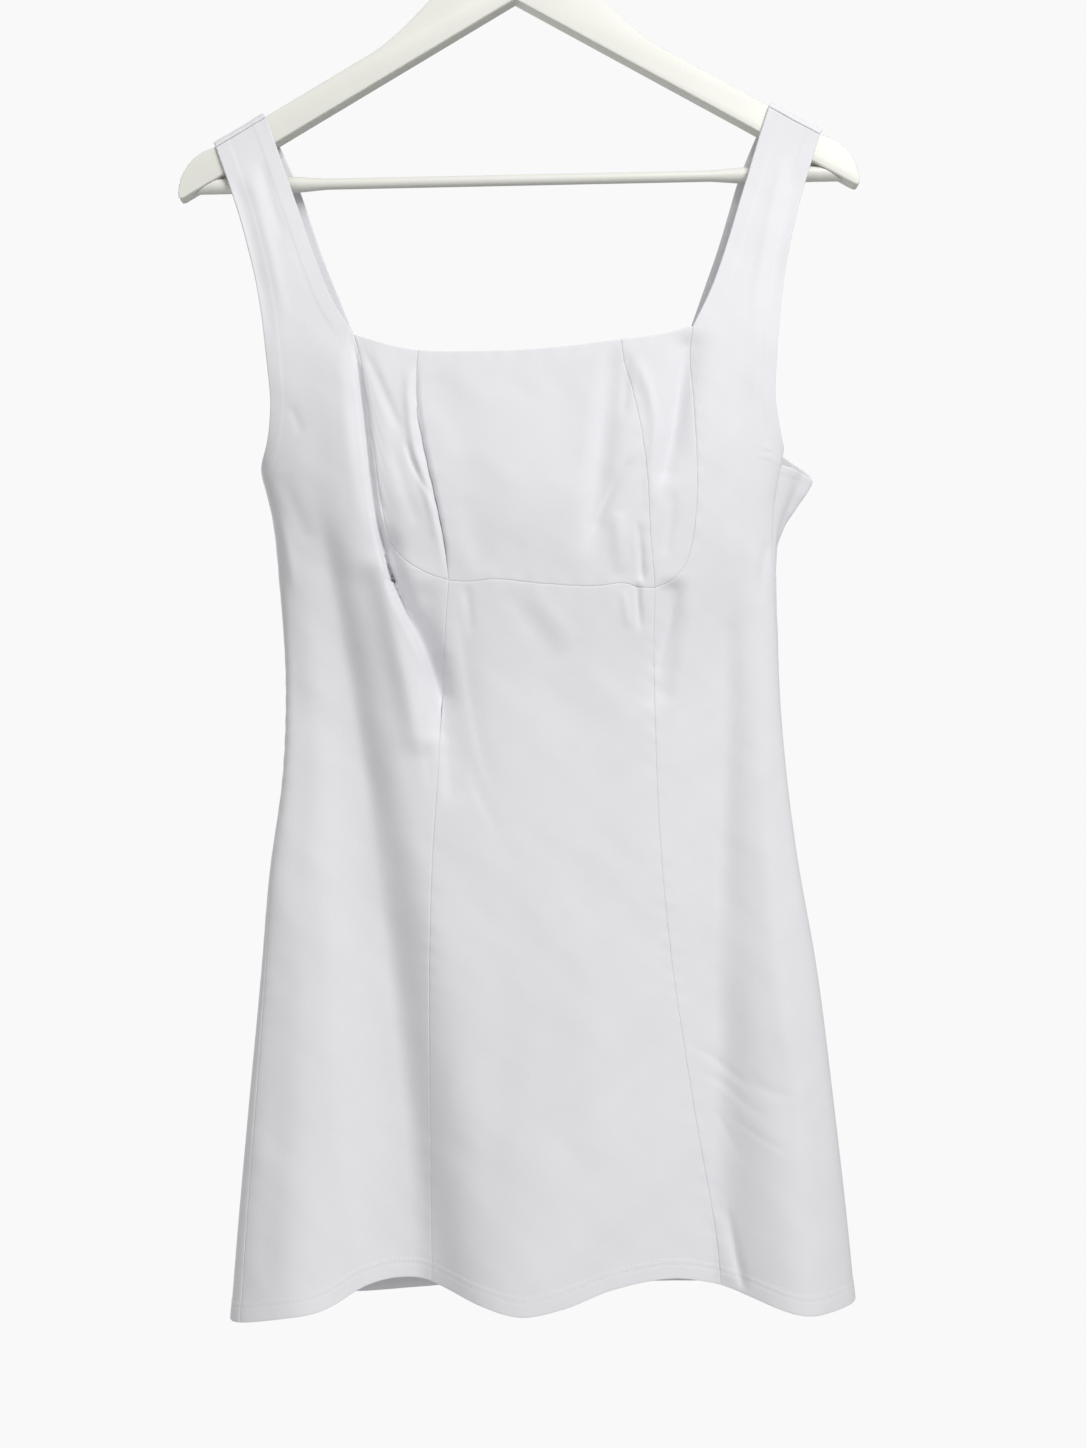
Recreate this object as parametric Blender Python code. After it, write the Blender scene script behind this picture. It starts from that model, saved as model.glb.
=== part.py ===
"""A sleeveless, square-necked mini dress on a flat hanger, built from its cut pieces.

Axes: +X is the viewer's right, -Y faces the viewer and +Z is up. The origin is inside the crown
of the hook, where it rests on a rail. All sizes here are millimetres; MM turns them to metres.

The whole dress follows one form, a closed ring at each height. A place on it is an angle round
the ring (0 at the front, 90 degrees at the viewer's right) and a height. Each cut piece fills
the part of that form between its seams, and neighbours stay SEAM_GAP apart.
"""

import math

import bmesh
import bpy
import numpy as np

MM = 0.001

# Cloth
CLOTH = 1.5
SEAM_GAP = 0.3
SEAT_GAP = 0.3

# Hanger
ARM_DEPTH = 12.0
ARM_SLOPE = 0.572
ARM_RISE = 20.8
UNDER_APEX = -113.0
ARM_EDGE_ROUND = 1.2
NECK_TOP = -75.0
SHOULDER_X = 92.0
NOSE_X = 198.0
TIP_X = 222.9
TIP_FOOT_X = 219.0
BAR_HEIGHT = -229.6
BAR_RADIUS = 3.5
BAR_END_RADIUS = 5.0
BAR_STEP = (126.0, 145.0)
BAR_SIDES = 16

# Hook
HOOK_WIRE = 2.0
HOOK_INSIDE = 22.0
HOOK_BEND = 12.5
HOOK_BEND_TURN = math.radians(70)
HOOK_TIP_ANGLE = math.radians(-25)
STEM_SUNK = 20.0
BEND_STEPS = 8
CROWN_STEPS = 28

# Shoulder, where the straps cross the arm
STRAP_OUTER_X = 197.0
STRAP_INNER_X = 164.0
ARCH_FOOT = -1.2
ARCH_RISE = 3.8
ARCH_STEPS = 8

# Steps between the grid lines of each piece, and the heights at which their density changes
SKIRT_TOP = -494.8
CUP_TOP = -458.0
RIGHT_UNDERARM_DROP = 7.0
SKIRT_ROWS = 18
SKIRT_ROWS_CROWD = 1.3
CUP_BASE_STEPS = 6
BUST_ROWS = 11
UNDERARM_ROWS = 4
STRAP_ROWS = 8
CENTRE_STEPS = 14
SIDE_STEPS = 10
BACK_STRAP_STEPS = 5
BACK_NECK_STEPS = 6
BACK_NECK_ROWS = 4
BACK_STRAP_ROWS = 10


def table(columns, *rows):
    """Named columns from rows of values."""
    return {name: np.array(values, float) for name, values in zip(columns.split(), zip(*rows))}


# The ring at each height: its sides seen from the front, the depth at which front and back meet,
# how far the front and the back stand out from there, and how round the ring is
SECTIONS = table(
    "height left right side front back round",
    (-975, -204, 205, 0, 50, 42, 0.62),
    (-905, -197, 199.5, 0, 46, 36, 0.62),
    (-845, -190.5, 194, 0, 42, 32, 0.62),
    (-745, -179.2, 183.5, 0, 36, 26, 0.62),
    (-680, -172.4, 173.5, 0, 33, 23, 0.62),
    (-615, -162.4, 166.6, 0, 31, 21, 0.62),
    (-560, -159.5, 163.8, 1, 33, 21, 0.62),
    (-495, -162, 164.3, 2, 42, 22, 0.62),
    (-445, -166.5, 166, 2, 47, 23, 0.60),
    (-425, -171, 170, 2, 47, 23, 0.58),
    (-385, -178, 178, 1, 43, 23, 0.52),
    (-345, -190, 190, 0, 37, 22, 0.46),
    (-300, -204, 204, 0, 26, 18, 0.36),
    (-270, -215, 215, 0, 18.5, 14.5, 0.26),
    (-240, -229, 229, 0, 12, 11, 0.16),
    (-215, -240, 240, 0, 8.6, 8.6, 0.09),
    (-185, -252, 252, 0, 8.2, 8.2, 0.07),
)

# The cloth's tip under the right arm, which stands out past the front's edge
EAR = table("height reach", (-490, 0), (-471, 3), (-456, 10), (-443, 18), (-432, 23), (-400, 16))
EAR_ANGLE = math.radians(98)
EAR_SPREAD = math.radians(9)

# Height of the hem's edge by the place across, on the front and on the back
FRONT_HEM = table(
    "across height",
    (-204, -970), (-165, -962), (-136, -957), (-112, -946), (-84, -943), (-62, -947),
    (-38, -953), (-14, -958), (12, -955), (45, -947), (84, -945.5), (110, -951),
    (135, -957), (166, -965), (205, -965),
)
BACK_HEM = table(
    "across height",
    (-204, -970), (-140, -968), (-80, -961), (-25, -967), (40, -966), (95, -960), (150, -966),
    (205, -965),
)

# Side seams, as angles round the ring in degrees
SIDE_SEAMS = table(
    "height left right",
    (-975, -73, 104), (-740, -78, 100), (-615, -84, 98), (-495, -88, 97), (-425, -90, 98),
)

# The seams between the front's centre and its sides, across at each height
FRONT_SEAMS = table(
    "height left right",
    (-965, -71, 117), (-925, -70.5, 114), (-845, -69.5, 102), (-795, -68.8, 95), (-740, -67.5, 88),
    (-670, -64, 82.5), (-600, -58, 80.5), (-540, -54, 80.7), (-502, -50.2, 81.5),
    (-494.8, -49.3, 81.8),
)

# Seams and edges of the bust, as places across and up, from the seam under the bust
CUP_BASE_LEFT = table(
    "across height", (-49.3, -494.8), (-62.7, -490), (-74, -483.4), (-82.1, -475.6), (-87.6, -465.9)
)
CUP_BASE_RIGHT = table(
    "across height", (81.5, -502), (91, -498.3), (99, -491), (104.3, -480), (107.2, -465.6)
)
CUP_SIDE_LEFT = table(
    "across height",
    (-87.6, -465.9), (-91.6, -442.3), (-95.4, -410.4), (-99.8, -378.5), (-103.6, -350), (-107, -336),
)
CUP_SIDE_RIGHT = table(
    "across height",
    (107.2, -465.6), (109.4, -445), (109.5, -414.7), (108.3, -382.8), (107.3, -350), (109.4, -335),
)
BUST_SEAM_LEFT = table(
    "across height",
    (-49.3, -494.8), (-51.9, -468.8), (-56.5, -443.3), (-63, -411.4), (-67, -388), (-67.5, -365),
    (-66, -347.6),
)
BUST_SEAM_RIGHT = table(
    "across height",
    (81.5, -502), (79, -465.2), (77.8, -432.8), (74.7, -401.6), (69.5, -376), (64.5, -356),
    (63, -343.4),
)
UNDER_BUST = table(
    "across height",
    (-49.3, -494.8), (-36, -495.8), (-23, -494.6), (8.5, -498), (46.5, -500.1), (62.5, -498.8),
    (72, -501.5), (81.5, -502),
)
NECK_EDGE = table(
    "across height",
    (-107, -336), (-78, -345.4), (-66, -347.6), (-27, -349.5), (5, -349), (36.5, -346.5),
    (63, -343.4), (88, -340.6), (109.4, -335),
)

# Edges of the straps and armholes on the viewer's right; the left ones mirror them
FRONT_OUTER = table(
    "across height",
    (166, -404), (162.5, -383), (163.5, -355), (166.5, -325), (171, -297), (177, -271),
    (183, -249), (189.5, -229),
)
FRONT_INNER = table(
    "across height", (121.5, -311), (133.5, -279.5), (143.5, -249), (150.5, -228), (158, -205)
)
BACK_OUTER = table(
    "across height",
    (163, -404), (160, -378), (161.5, -345), (166, -309), (172, -282), (179.5, -255), (189.5, -229),
)
BACK_INNER = table(
    "across height",
    (96, -371), (103, -350), (112, -326), (121, -302), (131, -275), (139, -250), (145, -231),
    (157, -203),
)
BACK_NECK_HEIGHT = -373.0
BACK_CENTRE_ANGLE = table("height angle", (-975, -187), (-740, -184), (-373, -180))

# Large folds: where each begins and ends, its place across at the top, middle and end, its
# half width at the top and end on the viewer's right, how many times as wide it is on the left,
# and how far it stands out at the top, middle and end
FOLD_COLUMNS = "top end x_top x_mid x_end wide_top wide_end skew out_top out_mid out_end"
FRONT_FOLDS = table(
    FOLD_COLUMNS,
    (-420, -1020, -138, -98, -78, 8, 35, 1.9, -2, -18, -34),
    (-560, -1020, -140, -146, -155, 18, 28, 1, 0, 2, 6),
    (-600, -1020, 0, -2, -12, 46, 36, 1, 0, 2, 6),
    (-470, -1020, 130, 117, 108, 9, 32, 2.2, -3, -14, -34),
    (-640, -1020, 158, 164, 170, 18, 22, 1, 0, 3, 8),
    (-330, -490, -106, -96, -84, 7, 8, 1, -1, -2, -1),
    (-330, -500, -119, -113, -100, 14, 14, 1, 1, 2, 2),
    (-336, -440, 108, 99, 88, 9, 9, 1, -3, -4, -2),
    (-492, -600, -66, -61, -58, 8, 8, 1, -2, -3, -1),
    (-470, -610, -92, -80, -68, 12, 11, 1, 2, 5, 2),
    (-494, -580, 93, 88, 82, 8, 9, 1, -3, -4, -1),
)
BACK_FOLDS = table(
    FOLD_COLUMNS,
    (-480, -1020, -70, -78, -84, 12, 34, 1.5, -2, -10, -22),
    (-520, -1020, 84, 92, 96, 12, 34, 1.4, -2, -10, -24),
    (-600, -1020, 0, 4, 8, 40, 38, 1, 0, 3, 9),
    (-560, -1020, 148, 152, 158, 16, 26, 1, 0, 3, 9),
    (-560, -1020, -140, -146, -152, 16, 26, 1, 0, 3, 9),
    (-400, -560, 30, 20, 14, 12, 12, 1, -1, -3, -1),
)
FOLD_FADE = 0.12
EDGE_FADE = 0.35

WHITE_CREPE = (0.84, 0.84, 0.86)
HANGER_WHITE = (0.80, 0.80, 0.76)
STEEL = (0.75, 0.75, 0.76)


def smooth(places, values, at):
    """A smooth curve through the values at the places, read at each point of at."""
    order = np.argsort(places)
    xs, ys = np.asarray(places)[order], np.asarray(values)[order]
    step = np.diff(xs)
    rise = np.diff(ys) / step
    slope = np.concatenate(
        [rise[:1], (rise[:-1] * step[1:] + rise[1:] * step[:-1]) / (step[:-1] + step[1:]), rise[-1:]]
    )
    at = np.clip(at, xs[0], xs[-1])
    i = np.clip(np.searchsorted(xs, at) - 1, 0, len(step) - 1)
    t = (at - xs[i]) / step[i]
    return (
        (1 + 2 * t) * (1 - t) ** 2 * ys[i]
        + t * (1 - t) ** 2 * step[i] * slope[i]
        + t * t * (3 - 2 * t) * ys[i + 1]
        + t * t * (t - 1) * step[i] * slope[i + 1]
    )


def ramp(x):
    """0 below 0, 1 above 1 and smooth between."""
    x = np.clip(x, 0, 1)
    return x * x * (3 - 2 * x)


def three_way(t, first, middle, last):
    """The parabola through its values at 0, a half and 1."""
    return (
        first * (1 - t) * (1 - 2 * t) + 4 * middle * t * (1 - t) + last * t * (2 * t - 1)
    )


def fold_depth(folds, across, height):
    """How far the folds stand out, at each place across and up."""
    total = np.zeros(np.broadcast(across, height).shape)
    for row in zip(*folds.values()):
        fold = dict(zip(folds, row))
        t = np.clip((fold["top"] - height) / (fold["top"] - fold["end"]), 0, 1)
        middle = three_way(t, fold["x_top"], fold["x_mid"], fold["x_end"])
        wide = fold["wide_top"] + (fold["wide_end"] - fold["wide_top"]) * t
        wide = np.where(across < middle, fold["skew"] * wide, wide)
        out = three_way(t, fold["out_top"], fold["out_mid"], fold["out_end"])
        ends = ramp(t / FOLD_FADE) * ramp((1 - t) / FOLD_FADE)
        total = total + ends * out * np.exp(-(((across - middle) / wide) ** 2))
    return total


def ring_at(height):
    """The ring's centre, half width and the other columns at each height."""
    part = {
        name: smooth(SECTIONS["height"], SECTIONS[name], height)
        for name in SECTIONS
        if name != "height"
    }
    part["centre"] = (part["left"] + part["right"]) / 2
    part["half"] = (part["right"] - part["left"]) / 2
    return part


def form(angle, height):
    """The dress's outer face, for arrays of angles round the ring and of heights."""
    ring = ring_at(height)
    facing = np.cos(angle)
    across = ring["centre"] + ring["half"] * np.sin(angle)
    depth = np.abs(facing) ** ring["round"]
    edge = ramp(np.abs(facing) / EDGE_FADE)
    front = ring["side"] - ring["front"] * depth - edge * fold_depth(FRONT_FOLDS, across, height)
    back = ring["side"] + ring["back"] * depth + edge * fold_depth(BACK_FOLDS, across, height)
    ear = smooth(EAR["height"], EAR["reach"], height)
    across = across + ear * np.exp(-(((angle - EAR_ANGLE) / EAR_SPREAD) ** 2))
    return np.stack([across, np.where(facing >= 0, front, back), height + 0 * angle], axis=-1)


def outward(angle, height):
    """The unit normal of the form, away from the dress's inside."""
    turn, rise = 0.004, 0.8
    round_it = form(angle + turn, height) - form(angle - turn, height)
    up_it = form(angle, height + rise) - form(angle, height - rise)
    normal = np.cross(round_it, up_it)
    return normal / np.linalg.norm(normal, axis=-1, keepdims=True)


def front_angle(across, height):
    """The angle round the ring of a place on the front, seen from the front."""
    ring = ring_at(height)
    return np.arcsin(np.clip((across - ring["centre"]) / ring["half"], -1, 1))


def back_angle(across, height, side):
    """The angle of a place on the back, counted from the side seam at side * 90 degrees."""
    return side * math.pi - front_angle(across, height)


def spread(points, steps):
    """That many even steps along the smooth curve through the points."""
    points = np.asarray(points, float)
    length = np.concatenate([[0], np.cumsum(np.linalg.norm(np.diff(points, axis=0), axis=1))])
    at = np.linspace(0, length[-1], steps + 1)
    return np.stack([smooth(length, points[:, k], at) for k in range(2)], axis=1)


def places(edge, side=1):
    """An edge table's points across and up; side -1 mirrors them."""
    return np.stack([side * edge["across"], edge["height"]], axis=1)


def on_front(points):
    """Angles and heights of points given across and up on the front."""
    return np.stack([front_angle(points[:, 0], points[:, 1]), points[:, 1]], axis=1)


def on_back(points, side):
    """Angles and heights of points given across and up on the back."""
    return np.stack([back_angle(points[:, 0], points[:, 1], side), points[:, 1]], axis=1)


def hem_height(angle):
    """The hem's height at each angle round the ring."""
    ring = ring_at(np.full(np.shape(angle), FRONT_HEM["height"].mean()))
    across = ring["centre"] + ring["half"] * np.sin(angle)
    front = smooth(FRONT_HEM["across"], FRONT_HEM["height"], across)
    back = smooth(BACK_HEM["across"], BACK_HEM["height"], across)
    return np.where(np.cos(angle) >= 0, front, back)


def seam_down(angle_at, top_height):
    """A seam from the hem up to top_height, as angles and heights, with closer steps higher up."""
    low = top_height
    for _ in range(6):
        low = float(hem_height(angle_at(np.array([low])))[0])
    heights = top_height - (top_height - low) * np.linspace(1, 0, SKIRT_ROWS + 1) ** SKIRT_ROWS_CROWD
    return np.stack([angle_at(heights), heights], axis=1)


def side_seam_angle(side):
    """The side seam's angle as a function of the height."""
    name = "right" if side > 0 else "left"
    return lambda height: np.radians(smooth(SIDE_SEAMS["height"], SIDE_SEAMS[name], height))


def front_seam_angle(side):
    """The angle of the seam beside the front's centre as a function of the height."""
    name = "right" if side > 0 else "left"
    return lambda height: front_angle(
        smooth(FRONT_SEAMS["height"], FRONT_SEAMS[name], height), height
    )


def arm_top(across):
    """The height of the arm's straight upper edge."""
    return UNDER_APEX + ARM_RISE - ARM_SLOPE * np.abs(across)


def shoulder_line(steps, side, below):
    """The line across the arm where a strap ends, that far below the arm's edge."""
    drop = below * math.hypot(1, ARM_SLOPE)
    across = side * np.linspace(STRAP_OUTER_X, STRAP_INNER_X, steps + 1)
    return np.stack([across, arm_top(across) - drop], axis=1)


def joined(*stretches):
    """Stretches end to end, with each shared point once."""
    return np.concatenate([stretches[0]] + [piece[1:] for piece in stretches[1:]])


def side_edge(side):
    """The side seam from the hem to the underarm, row by row."""
    seam = side_seam_angle(side)
    top = SIDE_SEAMS["height"].max() - (RIGHT_UNDERARM_DROP if side > 0 else 0)
    lower = seam_down(seam, SKIRT_TOP)
    middle = np.linspace(SKIRT_TOP, CUP_TOP, CUP_BASE_STEPS + 1)
    upper = np.linspace(CUP_TOP, top, UNDERARM_ROWS + 1)
    return joined(
        lower, *(np.stack([seam(heights), heights], axis=1) for heights in (middle, upper))
    )


def front_outer_edge(side):
    """The front armhole and strap edge, from the underarm to the shoulder seam."""
    start = side_edge(side)[-1:]
    end = shoulder_line(1, side, -ARCH_FOOT + SEAM_GAP)[:1]
    points = on_front(np.concatenate([places(FRONT_OUTER, side), end]))
    return spread_on_form(np.concatenate([start, points]), BUST_ROWS - UNDERARM_ROWS + STRAP_ROWS)


def spread_on_form(points, steps):
    """Even steps, in millimetres, along a curve given as angles and heights."""
    solid = form(points[:, 0], points[:, 1])
    length = np.concatenate([[0], np.cumsum(np.linalg.norm(np.diff(solid, axis=0), axis=1))])
    at = np.linspace(0, length[-1], steps + 1)
    return np.stack([smooth(length, points[:, k], at) for k in range(2)], axis=1)


def fill(edges, counts):
    """A grid of angles and heights, with its columns spread evenly between the edges."""
    columns = [edges[0]]
    for first, last, steps in zip(edges, edges[1:], counts):
        columns += [first + (last - first) * k / steps for k in range(1, steps + 1)]
    return np.stack(columns, axis=1)


def bend_end(grid, target, row):
    """Moves a grid's first (row 0) or last (row -1) row onto target, fading along the rows."""
    fade = np.linspace(1, 0, len(grid)) ** 3
    fade = fade if row == 0 else fade[::-1]
    return grid + fade[:, None, None] * (target - grid[row])


def bend_hem(grid):
    """Brings the first row onto the hem's line."""
    return bend_end(grid, np.stack([grid[0, :, 0], hem_height(grid[0, :, 0])], axis=1), 0)


def inward_shift(points, normal, along_rows, first):
    """Half the seam gap, square to a grid's edge and into the piece."""
    if along_rows:
        points, normal = np.swapaxes(points, 0, 1), np.swapaxes(normal, 0, 1)
    edge, inside = (0, 1) if first else (-1, -2)
    into = points[inside] - points[edge]
    square = np.cross(normal[edge], np.gradient(points[edge], axis=0))
    square /= np.linalg.norm(square, axis=-1, keepdims=True)
    return square * np.sign((square * into).sum(-1, keepdims=True)) * SEAM_GAP / 2


def wall_points(grid):
    """The outer and inner points of a piece, drawn in from its edges by half the seam gap."""
    angle, height = grid[..., 0], grid[..., 1]
    outer, normal = form(angle, height), outward(angle, height)
    moved = outer.copy()
    moved[:, 0] += inward_shift(outer, normal, True, True)
    moved[:, -1] += inward_shift(outer, normal, True, False)
    moved[0] += inward_shift(outer, normal, False, True)
    moved[-1] += inward_shift(outer, normal, False, False)
    return moved, moved - CLOTH * normal


def material(name, colour, roughness, metallic=0.0):
    """A plain surface with the piece's colour and finish."""
    made = bpy.data.materials.new(name)
    made.use_nodes = True
    surface = made.node_tree.nodes["Principled BSDF"]
    surface.inputs["Base Color"].default_value = (*colour, 1)
    surface.inputs["Roughness"].default_value = roughness
    surface.inputs["Metallic"].default_value = metallic
    return made


def add_object(name, bm, surface, smooth_angle=40):
    """Makes an object of the mesh, in metres, shaded smooth but for its sharp edges."""
    bmesh.ops.scale(bm, vec=(MM, MM, MM), verts=bm.verts)
    bmesh.ops.recalc_face_normals(bm, faces=bm.faces)
    mesh = bpy.data.meshes.new(name)
    bm.to_mesh(mesh)
    bm.free()
    mesh.shade_smooth()
    mesh.set_sharp_from_angle(angle=math.radians(smooth_angle))
    mesh.materials.append(surface)
    made = bpy.data.objects.new(name, mesh)
    bpy.context.scene.collection.objects.link(made)
    return made


def cloth_wall(name, outer, inner, surface, keep=None):
    """A closed wall of cloth from its outer and inner grids of points.

    keep says which of the grid's cells belong to the piece; without it all of them do.
    """
    rows, columns = outer.shape[0] - 1, outer.shape[1] - 1
    bm = bmesh.new()
    bmesh.ops.create_grid(bm, x_segments=columns, y_segments=rows, size=0.5)

    def cell(point):
        return (point.y + 0.5) * rows, (point.x + 0.5) * columns

    def crossing(vert):
        return tuple(round(k) for k in cell(vert.co))

    if keep is not None:
        gone = [
            face
            for face in bm.faces
            if not keep[tuple(int(k) for k in cell(face.calc_center_median()))]
        ]
        bmesh.ops.delete(bm, geom=gone, context="FACES")
    front = {vert: crossing(vert) for vert in bm.verts}
    moved = bmesh.ops.extrude_face_region(bm, geom=bm.faces[:], use_keep_orig=True)
    behind = [item for item in moved["geom"] if isinstance(item, bmesh.types.BMVert)]
    for vert in behind:
        vert.co = inner[crossing(vert)]
    for vert, place in front.items():
        vert.co = outer[place]
    return add_object(name, bm, surface)


def front_side(side, surface):
    """A long side panel of the front, with its half of the armhole and its strap."""
    cup_base, cup_side = (
        (CUP_BASE_RIGHT, CUP_SIDE_RIGHT) if side > 0 else (CUP_BASE_LEFT, CUP_SIDE_LEFT)
    )
    outer_edge = joined(side_edge(side), front_outer_edge(side))
    shoulder = shoulder_line(SIDE_STEPS, side, -ARCH_FOOT + SEAM_GAP)
    strap = np.concatenate(
        [places(cup_side)[-1:], places(FRONT_INNER, side), shoulder[-1:]]
    )
    inner_edge = joined(
        seam_down(front_seam_angle(side), float(cup_base["height"][0])),
        on_front(spread(places(cup_base), CUP_BASE_STEPS)),
        on_front(spread(places(cup_side), BUST_ROWS)),
        on_front(spread(strap, STRAP_ROWS)),
    )
    grid = bend_hem(fill([outer_edge, inner_edge], [SIDE_STEPS]))
    grid = bend_end(grid, on_front(shoulder), -1)
    return cloth_wall(
        "front_side_right" if side > 0 else "front_side_left", *wall_points(grid), surface
    )


def bust_side(side, surface):
    """The narrow cup side between the bust seam and the side panel."""
    base, cup, seam = (
        (CUP_BASE_RIGHT, CUP_SIDE_RIGHT, BUST_SEAM_RIGHT)
        if side > 0
        else (CUP_BASE_LEFT, CUP_SIDE_LEFT, BUST_SEAM_LEFT)
    )
    cup_edge = on_front(spread(places(cup), BUST_ROWS))
    seam_edge = on_front(spread(places(seam), BUST_ROWS))
    grid = fill([cup_edge, seam_edge], [CUP_BASE_STEPS])
    grid = bend_end(grid, on_front(spread(places(base), CUP_BASE_STEPS))[::-1], 0)
    grid = bend_end(grid, neck_line(cup_edge[-1, 0], seam_edge[-1, 0], CUP_BASE_STEPS), -1)
    return cloth_wall(
        "bust_side_right" if side > 0 else "bust_side_left", *wall_points(grid), surface
    )


def neck_line(first, last, steps):
    """The front neck edge between two angles."""
    points = on_front(spread(places(NECK_EDGE), 4 * CENTRE_STEPS))
    angles = np.linspace(first, last, steps + 1)
    return np.stack([angles, smooth(points[:, 0], points[:, 1], angles)], axis=1)


def bust_centre(surface):
    """The centre of the bust, from the seam under it to the neck edge."""
    left = on_front(spread(places(BUST_SEAM_LEFT), BUST_ROWS))
    right = on_front(spread(places(BUST_SEAM_RIGHT), BUST_ROWS))
    grid = fill([left, right], [CENTRE_STEPS])
    grid = bend_end(grid, on_front(spread(places(UNDER_BUST), CENTRE_STEPS)), 0)
    grid = bend_end(grid, neck_line(left[-1, 0], right[-1, 0], CENTRE_STEPS), -1)
    return cloth_wall("bust_centre", *wall_points(grid), surface)


def front_skirt(surface):
    """The centre front from the seam under the bust to the hem."""
    left = seam_down(front_seam_angle(-1), float(CUP_BASE_LEFT["height"][0]))
    right = seam_down(front_seam_angle(1), float(CUP_BASE_RIGHT["height"][0]))
    grid = fill([left, right], [CENTRE_STEPS])
    grid = bend_end(grid, on_front(spread(places(UNDER_BUST), CENTRE_STEPS)), -1)
    return cloth_wall("front_skirt", *wall_points(bend_hem(grid)), surface)


def over_the_arm(side, steps):
    """Outer and inner points of the strap's arch, from behind the arm over it to the front."""
    foot = shoulder_line(steps, side, -ARCH_FOOT)
    slope = math.atan(ARM_SLOPE)
    up = np.array([side * math.sin(slope), 0, math.cos(slope)])
    turns = np.linspace(0, math.pi, ARCH_STEPS + 1)[1:]
    layers = []
    for lift in (CLOTH, 0):
        reach = ARM_DEPTH / 2 + SEAT_GAP + lift
        base = np.stack([foot[:, 0], 0 * foot[:, 0], foot[:, 1]], axis=1)
        rows = [
            base + np.array([0, reach * math.cos(turn), 0]) + up * (ARCH_RISE + lift) * math.sin(turn)
            for turn in turns
        ]
        layers.append(np.stack(rows))
    return layers


def back(side, surface):
    """A back half, with its strap, which goes over the arm to the shoulder seam."""
    seam = side_edge(side)
    body_rows = len(seam) - 1
    shoulder = shoulder_line(BACK_STRAP_STEPS, side, -ARCH_FOOT)
    outer_points = on_back(np.concatenate([places(BACK_OUTER, side), shoulder[:1]]), side)
    outer = spread_on_form(
        np.concatenate([seam[-1:], outer_points]), BACK_NECK_ROWS + BACK_STRAP_ROWS
    )
    outer_edge = joined(seam, outer)
    neck_rows = body_rows + BACK_NECK_ROWS
    middle_heights = np.concatenate(
        [seam[:-1, 1], np.linspace(seam[-1, 1], BACK_NECK_HEIGHT, BACK_NECK_ROWS + 1)]
    )
    turned = np.radians(
        smooth(BACK_CENTRE_ANGLE["height"], BACK_CENTRE_ANGLE["angle"], middle_heights)
    )
    turned = -turned if side > 0 else -2 * math.pi - turned
    centre_edge = np.stack([turned, middle_heights], axis=1)
    corner = on_back(np.array([[side * BACK_INNER["across"][0], BACK_NECK_HEIGHT]]), side)[0]
    share = (corner[0] - outer_edge[neck_rows, 0]) / (centre_edge[-1, 0] - outer_edge[neck_rows, 0])
    plain = BACK_STRAP_STEPS / (BACK_STRAP_STEPS + BACK_NECK_STEPS)
    shares = plain + (share - plain) * np.linspace(0, 1, neck_rows + 1) ** 3
    body_outer = outer_edge[: neck_rows + 1]
    strap_line = body_outer + shares[:, None] * (centre_edge - body_outer)
    strap_line[-1] = corner
    body = bend_hem(
        fill([body_outer, strap_line, centre_edge], [BACK_STRAP_STEPS, BACK_NECK_STEPS])
    )
    inner_points = np.concatenate(
        [
            [[side * BACK_INNER["across"][0], BACK_NECK_HEIGHT]],
            places(BACK_INNER, side)[1:],
            shoulder[-1:],
        ]
    )
    strap_inner = on_back(spread(inner_points, BACK_STRAP_ROWS), side)
    strap = fill([outer_edge[neck_rows:], strap_inner], [BACK_STRAP_STEPS])
    body_walls, strap_walls = wall_points(body), wall_points(strap)
    arches = over_the_arm(side, BACK_STRAP_STEPS)
    layers = []
    for body_wall, strap_wall, arch in zip(body_walls, strap_walls, arches):
        upper = np.concatenate([strap_wall[1:], arch])
        full = np.zeros((len(upper), body_wall.shape[1], 3))
        full[:, : BACK_STRAP_STEPS + 1] = upper
        layers.append(np.concatenate([body_wall, full]))
    keep = np.ones((layers[0].shape[0] - 1, layers[0].shape[1] - 1), bool)
    keep[neck_rows:, BACK_STRAP_STEPS:] = False
    return cloth_wall("back_right" if side > 0 else "back_left", *layers, surface, keep)


def bezier(first, second, third, last, steps):
    """Points along a cubic curve, without its first one."""
    return [
        tuple(
            (1 - t) ** 3 * a + 3 * t * (1 - t) ** 2 * b + 3 * t * t * (1 - t) * c + t**3 * d
            for a, b, c, d in zip(first, second, third, last)
        )
        for t in (k / steps for k in range(1, steps + 1))
    ]


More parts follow.
